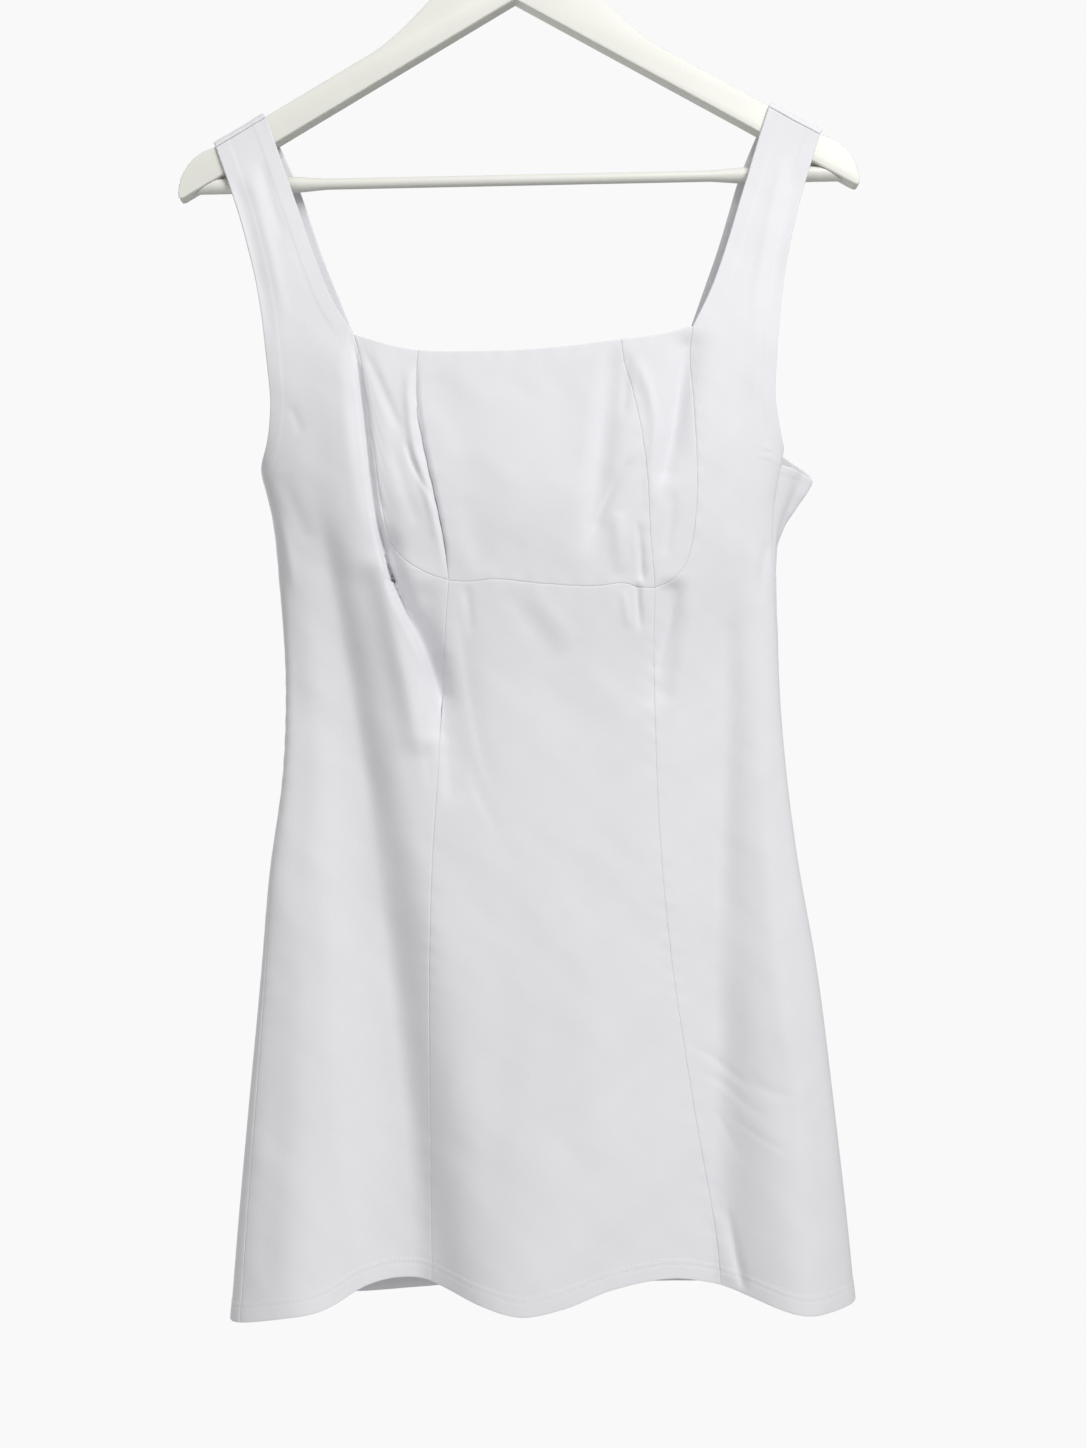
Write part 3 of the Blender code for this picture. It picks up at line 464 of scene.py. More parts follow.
# How a sewn and a turned edge round off: distance from the edge, and how far the outside and
# the inside face lie from their plain places there
SEWN_EDGE = table("off sink lift", (0, 0.42, 0), (0.08, 0.26, 0), (0.3, 0.11, 0), (0.8, 0.02, 0))
TURNED_EDGE = table(
    "off sink lift", (0, 0.62, 0.62), (0.14, 0.30, 0.30), (0.42, 0.10, 0.10), (0.9, 0.02, 0.02)
)


# Curves and form


def smooth(places, values, at):
    """A smooth curve through the values at the places, read at each point of at."""
    order = np.argsort(places)
    xs, ys = np.asarray(places)[order], np.asarray(values)[order]
    step = np.diff(xs)
    rise = np.diff(ys) / step
    slope = np.concatenate(
        [
            rise[:1],
            (rise[:-1] * step[1:] + rise[1:] * step[:-1]) / (step[:-1] + step[1:]),
            rise[-1:],
        ]
    )
    at = np.clip(at, xs[0], xs[-1])
    i = np.clip(np.searchsorted(xs, at) - 1, 0, len(step) - 1)
    t = (at - xs[i]) / step[i]
    return (
        (1 + 2 * t) * (1 - t) ** 2 * ys[i]
        + t * (1 - t) ** 2 * step[i] * slope[i]
        + t * t * (3 - 2 * t) * ys[i + 1]
        + t * t * (t - 1) * step[i] * slope[i + 1]
    )


def ramp(x):
    """0 below 0, 1 above 1 and smooth between."""
    x = np.clip(x, 0, 1)
    return x * x * (3 - 2 * x)


def three_way(t, first, middle, last):
    """The parabola through its values at 0, a half and 1."""
    return (
        first * (1 - t) * (1 - 2 * t) + 4 * middle * t * (1 - t) + last * t * (2 * t - 1)
    )


def fold_depth(folds, across, height):
    """How far the large folds stand out, at each place across and up."""
    total = np.zeros(np.broadcast(across, height).shape)
    for row in zip(*folds.values()):
        fold = dict(zip(folds, row))
        t = np.clip((fold["top"] - height) / (fold["top"] - fold["end"]), 0, 1)
        middle = three_way(t, fold["x_top"], fold["x_mid"], fold["x_end"])
        wide = fold["wide_top"] + (fold["wide_end"] - fold["wide_top"]) * t
        wide = np.where(across < middle, fold["skew"] * wide, wide)
        out = three_way(t, fold["out_top"], fold["out_mid"], fold["out_end"])
        ends = ramp(t / FOLD_FADE) * ramp((1 - t) / FOLD_FADE)
        total = total + ends * out * np.exp(-(((across - middle) / wide) ** 2))
    return total


def crease_depth(creases, across, height):
    """How far the creases stand out, at each place across and up."""
    total = np.zeros(across.shape)
    for wide_left, wide_right, first, middle, last, path in creases:
        line = spread(path, CREASE_STEPS * len(path))
        reach = CREASE_REACH * max(wide_left, wide_right)
        low, high = line.min(axis=0) - reach, line.max(axis=0) + reach
        near = (across > low[0]) & (across < high[0]) & (height > low[1]) & (height < high[1])
        if not near.any():
            continue
        x, z = across[near], height[near]
        best = np.full(x.shape, 1e9)
        along = np.zeros(x.shape)
        turned = np.zeros(x.shape)
        for k in range(len(line) - 1):
            step = line[k + 1] - line[k]
            dx, dz = x - line[k, 0], z - line[k, 1]
            t = np.clip((dx * step[0] + dz * step[1]) / (step @ step), 0, 1)
            off = np.hypot(dx - t * step[0], dz - t * step[1])
            closer = off < best
            best = np.where(closer, off, best)
            along = np.where(closer, (k + t) / (len(line) - 1), along)
            turned = np.where(closer, step[0] * dz - step[1] * dx, turned)
        wide = np.where(turned < 0, wide_left, wide_right)
        ends = ramp(along / CREASE_FADE) * ramp((1 - along) / CREASE_FADE)
        total[near] += ends * three_way(along, first, middle, last) * np.exp(-((best / wide) ** 2))
    return total


def waves(across, height):
    """The cloth's soft unevenness."""
    total = 0
    for wave in zip(*WAVES.values()):
        long, tall, shift, out = wave
        total = total + out * np.sin(
            2 * math.pi * across / long + shift + WAVE_DRIFT * np.sin(2 * math.pi * height / tall)
        ) * np.cos(2 * math.pi * height / (WAVE_STRETCH * tall) + 2 * shift)
    return total


def ring_at(height):
    """The ring's centre, half width and the other columns at each height."""
    part = {
        name: smooth(SECTIONS["height"], SECTIONS[name], height)
        for name in SECTIONS
        if name != "height"
    }
    part["centre"] = (part["left"] + part["right"]) / 2
    part["half"] = (part["right"] - part["left"]) / 2
    return part


def form(angle, height, fine=False):
    """The dress's outer face, for arrays of angles and heights; fine adds the creases."""
    ring = ring_at(height)
    facing = np.cos(angle)
    across = ring["centre"] + ring["half"] * np.sin(angle)
    depth = np.abs(facing) ** ring["round"]
    edge = ramp(np.abs(facing) / EDGE_FADE)
    front_out = fold_depth(FRONT_FOLDS, across, height)
    back_out = fold_depth(BACK_FOLDS, across, height)
    if fine:
        front_out = front_out + crease_depth(FRONT_CREASES, across, height) + waves(across, height)
        back_out = back_out + crease_depth(BACK_CREASES, across, height) + waves(-across, height)
    front = ring["side"] - ring["front"] * depth - edge * front_out
    back = ring["side"] + ring["back"] * depth + edge * back_out
    ear = smooth(EAR["height"], EAR["reach"], height)
    tuck = smooth(TUCK["height"], TUCK["reach"], height)
    across = across + ear * np.exp(-(((angle - EAR_ANGLE) / EAR_SPREAD) ** 2))
    across = across - tuck * np.exp(-(((angle - TUCK_ANGLE) / TUCK_SPREAD) ** 2))
    return np.stack([across, np.where(facing >= 0, front, back), height + 0 * angle], axis=-1)


def front_angle(across, height):
    """The angle round the ring of a place on the front, seen from the front."""
    ring = ring_at(height)
    return np.arcsin(np.clip((across - ring["centre"]) / ring["half"], -1, 1))


def back_angle(across, height, side):
    """The angle of a place on the back, counted from the side seam at side * 90 degrees."""
    return side * math.pi - front_angle(across, height)


def spread(points, steps):
    """That many even steps along the smooth curve through the points."""
    points = np.asarray(points, float)
    length = np.concatenate([[0], np.cumsum(np.linalg.norm(np.diff(points, axis=0), axis=1))])
    at = np.linspace(0, length[-1], steps + 1)
    return np.stack([smooth(length, points[:, k], at) for k in range(2)], axis=1)


def places(edge, side=1):
    """An edge table's points across and up; side -1 mirrors them."""
    return np.stack([side * edge["across"], edge["height"]], axis=1)


def on_front(points):
    """Angles and heights of points given across and up on the front."""
    return np.stack([front_angle(points[:, 0], points[:, 1]), points[:, 1]], axis=1)


def on_back(points, side):
    """Angles and heights of points given across and up on the back."""
    return np.stack([back_angle(points[:, 0], points[:, 1], side), points[:, 1]], axis=1)


def hem_height(angle):
    """The hem's height at each angle round the ring."""
    ring = ring_at(np.full(np.shape(angle), FRONT_HEM["height"].mean()))
    across = ring["centre"] + ring["half"] * np.sin(angle)
    front = smooth(FRONT_HEM["across"], FRONT_HEM["height"], across)
    back = smooth(BACK_HEM["across"], BACK_HEM["height"], across)
    return np.where(np.cos(angle) >= 0, front, back)


def seam_down(angle_at, top_height):
    """A seam from the hem up to top_height, as angles and heights, with closer steps in the hem."""
    low = top_height
    for _ in range(6):
        low = float(hem_height(angle_at(np.array([low])))[0])
    hem = np.linspace(low, low + HEM_BAND, HEM_ROWS + 1)
    heights = np.concatenate([hem[:-1], np.linspace(low + HEM_BAND, top_height, SKIRT_ROWS + 1)])
    return np.stack([angle_at(heights), heights], axis=1)


def side_seam_angle(side):
    """The side seam's angle as a function of the height."""
    name = "right" if side > 0 else "left"
    return lambda height: np.radians(smooth(SIDE_SEAMS["height"], SIDE_SEAMS[name], height))


def front_seam_angle(side):
    """The angle of the seam beside the front's centre as a function of the height."""
    name = "right" if side > 0 else "left"
    return lambda height: front_angle(
        smooth(FRONT_SEAMS["height"], FRONT_SEAMS[name], height), height
    )


def arm_top(across):
    """The height of the arm's straight upper edge."""
    return UNDER_APEX + ARM_RISE - ARM_SLOPE * np.abs(across)


def shoulder_line(steps, side, below):
    """The line across the arm where a strap ends, that far below the arm's edge."""
    drop = below * math.hypot(1, ARM_SLOPE)
    across = side * np.linspace(STRAP_OUTER_X, STRAP_INNER_X, steps + 1)
    return np.stack([across, arm_top(across) - drop], axis=1)


def joined(*stretches):
    """Stretches end to end, with each shared point once."""
    return np.concatenate([stretches[0]] + [piece[1:] for piece in stretches[1:]])


def side_edge(side):
    """The side seam from the hem to the underarm, row by row."""
    seam = side_seam_angle(side)
    top = SIDE_SEAMS["height"].max() - (RIGHT_UNDERARM_DROP if side > 0 else 0)
    lower = seam_down(seam, SKIRT_TOP)
    middle = np.linspace(SKIRT_TOP, CUP_TOP, CUP_BASE_STEPS + 1)
    upper = np.linspace(CUP_TOP, top, UNDERARM_ROWS + 1)
    return joined(
        lower, *(np.stack([seam(heights), heights], axis=1) for heights in (middle, upper))
    )


def spread_on_form(points, steps):
    """Even steps, in millimetres, along a curve given as angles and heights."""
    solid = form(points[:, 0], points[:, 1])
    length = np.concatenate([[0], np.cumsum(np.linalg.norm(np.diff(solid, axis=0), axis=1))])
    at = np.linspace(0, length[-1], steps + 1)
    return np.stack([smooth(length, points[:, k], at) for k in range(2)], axis=1)


def fill(edges, counts, crowd=0):
    """A grid of angles and heights between the edges; crowd brings columns to the last edge."""
    columns = [edges[0]]
    for first, last, steps in zip(edges, edges[1:], counts):
        shares = np.arange(1, steps + 1) / steps
        shares = shares + crowd * shares * (1 - shares)
        columns += [first + (last - first) * share for share in shares]
    return np.stack(columns, axis=1)


def bend_end(grid, target, row):
    """Moves a grid's first (row 0) or last (row -1) row onto target, fading along the rows."""
    fade = np.linspace(1, 0, len(grid)) ** 3
    fade = fade if row == 0 else fade[::-1]
    return grid + fade[:, None, None] * (target - grid[row])


def bend_hem(grid):
    """Brings the first row onto the hem's line."""
    return bend_end(grid, np.stack([grid[0, :, 0], hem_height(grid[0, :, 0])], axis=1), 0)


# Cloth walls


def grid_normals(points):
    """The unit normals of a grid of points."""
    normal = np.cross(np.gradient(points, axis=1), np.gradient(points, axis=0))
    return normal / np.linalg.norm(normal, axis=-1, keepdims=True)


def edge_distances(points):
    """Each point's distance from the first column, square to that edge where rows are slanted."""
    step = np.diff(points, axis=1)
    length = np.linalg.norm(step, axis=-1)
    run = np.concatenate([np.zeros((len(points), 1)), np.cumsum(length, axis=1)], axis=1)
    tangent = np.gradient(points[:, 0], axis=0)
    tangent /= np.linalg.norm(tangent, axis=-1, keepdims=True)
    ahead = step[:, 0] / length[:, :1]
    slant = np.linalg.norm(np.cross(ahead, tangent), axis=-1)
    return run * np.maximum(slant, LEAST_SLANT)[:, None]


def sewing(distance, along, turned, hem):
    """How far the cloth stands out near an edge, by its sewing there."""
    uneven = PUCKER_UNEVEN * np.sin(along / PUCKER_DRIFT[0])
    pucker = np.sin(2 * math.pi * along / PUCKER_LENGTH + uneven)
    pucker = pucker * np.sin(along / PUCKER_DRIFT[1])
    sewn = PUCKER * pucker * np.exp(-((distance / PUCKER_REACH) ** 2))
    if hem:
        stitched = HEM_STITCH_SINK * sum(
            np.exp(-(((distance - row) / HEM_STITCH_GROOVE) ** 2)) for row in HEM_STITCH_ROWS
        )
        raised = HEM_RAISE * ramp((HEM_TURN - distance) / HEM_STEP + 0.5)
        return raised - stitched + HEM_PUCKER * sewn
    band = TURNED_RAISE * ramp((TURNED_BAND - distance) / TURNED_STEP + 0.5)
    return turned * band + (1 - turned) * sewn


def rounded_edge(layers, distance, turned):
    """Puts the rounding of one edge between the first and second columns of each layer.

    layers are grids that go together; the last two are the outside's sink and the inside's lift.
    """
    turned = np.broadcast_to(turned, (len(distance),)).astype(float)
    cell = np.maximum(distance[:, 1], 1e-6)
    mix = {
        name: np.outer(1 - turned, SEWN_EDGE[name]) + np.outer(turned, TURNED_EDGE[name])
        for name in SEWN_EDGE
    }
    share = np.minimum(mix["off"], EDGE_SHARE * cell[:, None]) / cell[:, None]
    made = []
    for layer in layers:
        flat = layer if layer.ndim == 3 else layer[..., None]
        extra = flat[:, :1] * (1 - share[..., None]) + flat[:, 1:2] * share[..., None]
        grown = np.concatenate([extra, flat[:, 1:]], axis=1)
        made.append(grown if layer.ndim == 3 else grown[..., 0])
    for k, name in ((-2, "sink"), (-1, "lift")):
        made[k][:, :EDGE_STEPS] = np.maximum(made[k][:, :EDGE_STEPS], mix[name])
    return made


def wall_layers(points, facing_out, turned, hem=False):
    """The outer and inner points of a piece of cloth, with its sewing and rounded edges.

    turned says for the left, right, bottom and top edge whether it is a turned edge (1) or a
    seam (0), as a number or row by row; hem makes the bottom edge a stitched hem.
    """
    left, right, bottom, top = turned
    normal = grid_normals(points)
    if (normal * facing_out).sum() < 0:
        normal = -normal
    along_rows = edge_distances(points)
    along_columns = np.swapaxes(edge_distances(np.swapaxes(points, 0, 1)), 0, 1)
    from_right = edge_distances(points[:, ::-1])[:, ::-1]
    from_top = np.swapaxes(edge_distances(np.swapaxes(points[::-1], 0, 1)), 0, 1)[::-1]
    out = sewing(along_rows, along_columns, np.reshape(left, (-1, 1)), False)
    out = out + sewing(from_right, along_columns, np.reshape(right, (-1, 1)), False)
    out = out + sewing(along_columns, along_rows, bottom, hem)
    out = out + sewing(from_top, along_rows, top, False)
    outer = points + out[..., None] * normal
    zero = np.zeros(points.shape[:2])
    layers = [outer, normal, along_rows, from_right, along_columns, from_top, zero, zero.copy()]
    layers = rounded_edge(layers, along_rows, left)
    flipped = [layer[:, ::-1] for layer in layers]
    layers = [layer[:, ::-1] for layer in rounded_edge(flipped, flipped[3], right)]

    def widened(edge):
        """The edge's values column by column, with those of the columns just added."""
        edge = np.broadcast_to(edge, (points.shape[1],)).astype(float)
        return np.pad(edge, EDGE_STEPS - 1, mode="edge")

    upright = [np.swapaxes(layer, 0, 1) for layer in layers]
    upright = rounded_edge(upright, upright[4], widened(bottom))
    upright = [layer[:, ::-1] for layer in upright]
    upright = rounded_edge(upright, upright[5], widened(top))
    layers = [np.swapaxes(layer[:, ::-1], 0, 1) for layer in upright]
    outer, normal, sink, lift = layers[0], layers[1], layers[-2], layers[-1]
    return outer - sink[..., None] * normal, outer - (CLOTH - lift)[..., None] * normal


def colour(code):
    """An sRGB hex colour as the linear values that a shader takes."""
    parts = [int(code[k : k + 2], 16) / 255 for k in (1, 3, 5)]
    return [*(c / 12.92 if c <= 0.04045 else ((c + 0.055) / 1.055) ** 2.4 for c in parts), 1.0]


def mesh_of(name, bm):
    """The bmesh's mesh; the bmesh itself is freed."""
    mesh = bpy.data.meshes.new(name)
    bm.to_mesh(mesh)
    bm.free()
    return mesh


def cloth_piece(name, layers, surface):
    """A closed wall of cloth from its outer and inner grids of points."""
    outer, inner = layers
    rows, columns = outer.shape[0] - 1, outer.shape[1] - 1
    bm = bmesh.new()
    bmesh.ops.create_grid(bm, x_segments=columns, y_segments=rows, size=0.5)
    moved = bmesh.ops.extrude_face_region(bm, geom=bm.faces[:], use_keep_orig=True)
    behind = [item for item in moved["geom"] if isinstance(item, bmesh.types.BMVert)]
    bmesh.ops.translate(bm, verts=behind, vec=(0, 0, 1))
    mesh = mesh_of(name, bm)
    at = np.empty(3 * len(mesh.vertices), np.float32)
    mesh.vertices.foreach_get("co", at)
    at = at.reshape(-1, 3)
    row = np.rint((at[:, 1] + 0.5) * rows).astype(int)
    column = np.rint((at[:, 0] + 0.5) * columns).astype(int)
    place = np.where(at[:, 2:] > 0.5, inner[row, column], outer[row, column]) * MM
    mesh.vertices.foreach_set("co", place.astype(np.float32).ravel())
    return finished(name, mesh, surface)


def finished(name, mesh, surface, smooth_angle=None):
    """Turns the faces outwards, shades them smooth and makes the object."""
    bm = bmesh.new()
    bm.from_mesh(mesh)
    bmesh.ops.recalc_face_normals(bm, faces=bm.faces)
    bm.to_mesh(mesh)
    bm.free()
    mesh.shade_smooth()
    if smooth_angle:
        mesh.set_sharp_from_angle(angle=math.radians(smooth_angle))
    mesh.materials.append(surface)
    made = bpy.data.objects.new(name, mesh)
    bpy.context.scene.collection.objects.link(made)
    return made


def outwards(grid):
    """A rough outward direction of the dress at each point of a grid."""
    angle = grid[..., 0]
    return np.stack([np.sin(angle), -np.cos(angle), 0 * angle], axis=-1)


def from_row(rows, start):
    """0 below the row start and 1 above it, for an edge that is sewn first and turned after."""
    return ramp((np.arange(rows) - start) / TURNED_FADE_ROWS + 0.5)


# The cut pieces


def front_side(side, surface):
    """A long side panel of the front, with its half of the armhole and its strap."""
    cup_base, cup_side = (
        (CUP_BASE_RIGHT, CUP_SIDE_RIGHT) if side > 0 else (CUP_BASE_LEFT, CUP_SIDE_LEFT)
    )
    seam = side_edge(side)
    end = shoulder_line(1, side, -ARCH_FOOT + SEAT_GAP)[:1]
    armhole = on_front(np.concatenate([places(FRONT_OUTER, side), end]))
    armhole = np.concatenate([seam[-1:], armhole])
    outer_edge = joined(seam, spread_on_form(armhole, BUST_ROWS - UNDERARM_ROWS + STRAP_ROWS))
    shoulder = shoulder_line(SIDE_STEPS, side, -ARCH_FOOT + SEAT_GAP)
    strap = np.concatenate([places(cup_side)[-1:], places(FRONT_INNER, side), shoulder[-1:]])
    inner_edge = joined(
        seam_down(front_seam_angle(side), float(cup_base["height"][0])),
        on_front(spread(places(cup_base), CUP_BASE_STEPS)),
        on_front(spread(places(cup_side), BUST_ROWS)),
        on_front(spread(strap, STRAP_ROWS)),
    )
    grid = bend_hem(fill([outer_edge, inner_edge], [SIDE_STEPS], SIDE_CROWD))
    grid = bend_end(grid, on_front(shoulder), -1)
    rows = len(grid)
    turned = (from_row(rows, len(seam)), from_row(rows, rows - STRAP_ROWS - 1), 0, 0)
    points = form(grid[..., 0], grid[..., 1], fine=True)
    name = "cloth_front_side_right" if side > 0 else "cloth_front_side_left"
    return cloth_piece(name, wall_layers(points, outwards(grid), turned, hem=True), surface)


def neck_line(first, last, steps):
    """The front neck edge between two angles."""
    points = on_front(spread(places(NECK_EDGE), 4 * CENTRE_STEPS))
    angles = np.linspace(first, last, steps + 1)
    return np.stack([angles, smooth(points[:, 0], points[:, 1], angles)], axis=1)


def bust_side(side, surface):
    """The narrow cup side between the bust seam and the side panel."""
    base, cup, seam = (
        (CUP_BASE_RIGHT, CUP_SIDE_RIGHT, BUST_SEAM_RIGHT)
        if side > 0
        else (CUP_BASE_LEFT, CUP_SIDE_LEFT, BUST_SEAM_LEFT)
    )
    cup_edge = on_front(spread(places(cup), BUST_ROWS))
    seam_edge = on_front(spread(places(seam), BUST_ROWS))
    grid = fill([cup_edge, seam_edge], [CUP_STEPS])
    grid = bend_end(grid, on_front(spread(places(base), CUP_STEPS))[::-1], 0)
    grid = bend_end(grid, neck_line(cup_edge[-1, 0], seam_edge[-1, 0], CUP_STEPS), -1)
    points = form(grid[..., 0], grid[..., 1], fine=True)
    name = "cloth_bust_side_right" if side > 0 else "cloth_bust_side_left"
    return cloth_piece(name, wall_layers(points, outwards(grid), (0, 0, 0, 0)), surface)


def bust_centre(surface):
    """The centre of the bust, from the seam under it to the neck edge."""
    left = on_front(spread(places(BUST_SEAM_LEFT), BUST_ROWS))
    right = on_front(spread(places(BUST_SEAM_RIGHT), BUST_ROWS))
    grid = fill([left, right], [CENTRE_STEPS])
    grid = bend_end(grid, on_front(spread(places(UNDER_BUST), CENTRE_STEPS)), 0)
    grid = bend_end(grid, neck_line(left[-1, 0], right[-1, 0], CENTRE_STEPS), -1)
    points = form(grid[..., 0], grid[..., 1], fine=True)
    return cloth_piece(
        "cloth_bust_centre", wall_layers(points, outwards(grid), (0, 0, 0, 0)), surface
    )


def front_skirt(surface):
    """The centre front from the seam under the bust to the hem."""
    left = seam_down(front_seam_angle(-1), float(CUP_BASE_LEFT["height"][0]))
    right = seam_down(front_seam_angle(1), float(CUP_BASE_RIGHT["height"][0]))
    grid = fill([left, right], [CENTRE_STEPS])
    grid = bend_end(grid, on_front(spread(places(UNDER_BUST), CENTRE_STEPS)), -1)
    grid = bend_hem(grid)
    points = form(grid[..., 0], grid[..., 1], fine=True)
    return cloth_piece(
        "cloth_front_skirt", wall_layers(points, outwards(grid), (0, 0, 0, 0), hem=True), surface
    )


def over_the_arm(side, steps):
    """The outside of the strap's arch, from behind the arm over it to the front."""
    foot = shoulder_line(steps, side, -ARCH_FOOT)
    slope = math.atan(ARM_SLOPE)
    up = np.array([side * math.sin(slope), 0, math.cos(slope)])
    turns = np.linspace(0, math.pi, ARCH_STEPS + 1)[1:]
    reach = ARM_DEPTH / 2 + SEAT_GAP + CLOTH
    base = np.stack([foot[:, 0], 0 * foot[:, 0], foot[:, 1]], axis=1)
    return np.stack(
        [
            base
            + np.array([0, reach * math.cos(turn), 0])
            + up * (ARCH_RISE + CLOTH) * math.sin(turn)
            for turn in turns
        ]
    )


def back(side, surface):
    """A back half, with its strap, which goes over the arm to the shoulder seam."""
    seam = side_edge(side)
    shoulder = shoulder_line(BACK_STRAP_STEPS, side, -ARCH_FOOT)
    outer_points = on_back(np.concatenate([places(BACK_OUTER, side), shoulder[:1]]), side)
    outer_edge = joined(
        seam,
        spread_on_form(
            np.concatenate([seam[-1:], outer_points]), BACK_NECK_ROWS + BACK_STRAP_ROWS
        ),
    )
    neck_rows = len(seam) - 1 + BACK_NECK_ROWS
    middle_heights = np.concatenate(
        [seam[:-1, 1], np.linspace(seam[-1, 1], BACK_NECK_HEIGHT, BACK_NECK_ROWS + 1)]
    )
    turned = np.radians(
        smooth(BACK_CENTRE_ANGLE["height"], BACK_CENTRE_ANGLE["angle"], middle_heights)
    )
    turned = -turned if side > 0 else -2 * math.pi - turned
    centre_edge = np.stack([turned, middle_heights], axis=1)
    corner = on_back(np.array([[side * BACK_INNER["across"][0], BACK_NECK_HEIGHT]]), side)[0]
    share = (corner[0] - outer_edge[neck_rows, 0]) / (centre_edge[-1, 0] - outer_edge[neck_rows, 0])
    plain = BACK_STRAP_STEPS / (BACK_STRAP_STEPS + BACK_NECK_STEPS)
    shares = plain + (share - plain) * np.linspace(0, 1, neck_rows + 1) ** 3
    body_outer = outer_edge[: neck_rows + 1]
    strap_line = body_outer + shares[:, None] * (centre_edge - body_outer)
    strap_line[-1] = corner
    body = bend_hem(
        fill([body_outer, strap_line, centre_edge], [BACK_STRAP_STEPS, BACK_NECK_STEPS])
    )
    inner_points = np.concatenate(
        [
            [[side * BACK_INNER["across"][0], BACK_NECK_HEIGHT]],
            places(BACK_INNER, side)[1:],
            shoulder[-1:],
        ]
    )
    strap_inner = on_back(spread(inner_points, BACK_STRAP_ROWS), side)
    strap = fill([outer_edge[neck_rows:], strap_inner], [BACK_STRAP_STEPS])
    name = "right" if side > 0 else "left"
    made = []
    seam_rows = from_row(neck_rows + 1, len(seam))
    points = form(body[..., 0], body[..., 1], fine=True)
    neck = (np.arange(points.shape[1]) >= BACK_STRAP_STEPS).astype(float)
    layers = wall_layers(points, outwards(body), (seam_rows, 0, 0, neck), hem=True)
    made.append(cloth_piece("cloth_back_" + name, layers, surface))
    points = form(strap[..., 0], strap[..., 1], fine=True)
    points = np.concatenate([points, over_the_arm(side, BACK_STRAP_STEPS)])
    facing = outwards(strap)
    facing = np.concatenate([facing, np.repeat(0 * facing[-1:], ARCH_STEPS, axis=0)])
    layers = wall_layers(points, facing, (1, 1, 0, 0))
    made.append(cloth_piece("cloth_back_strap_" + name, layers, surface))
    return made


# The hanger


def bezier(first, second, third, last, steps):
    """Points along a cubic curve, without its first one."""
    return [
        tuple(
            (1 - t) ** 3 * a + 3 * t * (1 - t) ** 2 * b + 3 * t * t * (1 - t) * c + t**3 * d
            for a, b, c, d in zip(first, second, third, last)
        )
        for t in (k / steps for k in range(1, steps + 1))
    ]


def hanger_arms(surface):
    """The flat hanger: two sloping arms with rounded noses and a humped neck."""
    shoulder = (SHOULDER_X, float(arm_top(SHOULDER_X)))
    nose = (NOSE_X, float(arm_top(NOSE_X)))
    tip = (TIP_X, UNDER_APEX - ARM_SLOPE * TIP_X + TIP_RISE)
    foot = (TIP_FOOT_X, UNDER_APEX - ARM_SLOPE * TIP_FOOT_X)
    half = bezier((0, NECK_TOP), *NECK_HANDLES, shoulder, NECK_STEPS)
    half += [nose]
    over, ahead = (NOSE_X + 16, nose[1] - 4), (TIP_X - 0.4, nose[1] - 17)
    half += bezier(nose, over, ahead, tip, NOSE_STEPS)
    ahead, under = (TIP_X, tip[1] - 3.5), (TIP_X - 1.5, foot[1] - 0.9)
    half += bezier(tip, ahead, under, foot, FOOT_STEPS)
    outline = [(0, NECK_TOP), *half, (0, UNDER_APEX)]
    outline += [(-x, z) for x, z in reversed(half)]
    bm = bmesh.new()
    front = bm.faces.new([bm.verts.new((x * MM, -ARM_DEPTH / 2 * MM, z * MM)) for x, z in outline])
    pushed = bmesh.ops.extrude_face_region(bm, geom=[front], use_keep_orig=True)
    verts = [item for item in pushed["geom"] if isinstance(item, bmesh.types.BMVert)]
    bmesh.ops.translate(bm, verts=verts, vec=(0, ARM_DEPTH * MM, 0))
    rims = [edge for edge in bm.edges if abs(edge.verts[0].co.y - edge.verts[1].co.y) < 1e-6]
    bmesh.ops.bevel(
        bm,
        geom=rims,
        offset=ARM_EDGE_ROUND * MM,
        segments=4,
        profile=0.5,
        affect="EDGES",
        material=-1,
    )
    return finished("painted_arms", mesh_of("painted_arms", bm), surface, 35)


def hanger_bar(surface):
    """The trouser bar, thicker at its ends, which stop just short of the arms' undersides."""
    slant = math.atan(ARM_SLOPE)

    def end(height):
        return (UNDER_APEX - height) / ARM_SLOPE - SEAT_GAP / math.sin(slant)

    thin, thick = BAR_STEP
    half = [(None, BAR_END_RADIUS), (thick + 1, BAR_END_RADIUS), (thick, BAR_END_RADIUS)]
    half += [(thin, BAR_RADIUS), (thin - 1, BAR_RADIUS), (BAR_STATION, BAR_RADIUS)]
    stations = [(-1, *s) for s in half] + [(1, *s) for s in reversed(half)]
    bm = bmesh.new()
    rings = []
    for side, across, radius in stations:
        ring = []
        for k in range(BAR_SIDES):
            turn = 2 * math.pi * k / BAR_SIDES
            height = BAR_HEIGHT + radius * math.sin(turn)
            x = side * (end(height) if across is None else across)
            ring.append(bm.verts.new((x * MM, radius * math.cos(turn) * MM, height * MM)))
        rings.append([bm.edges.new((a, b)) for a, b in zip(ring, ring[1:] + ring[:1])])
    for first, second in zip(rings, rings[1:]):
        bmesh.ops.bridge_loops(bm, edges=first + second)
    bmesh.ops.holes_fill(bm, edges=rings[0] + rings[-1])
    return finished("painted_bar", mesh_of("painted_bar", bm), surface, 50)


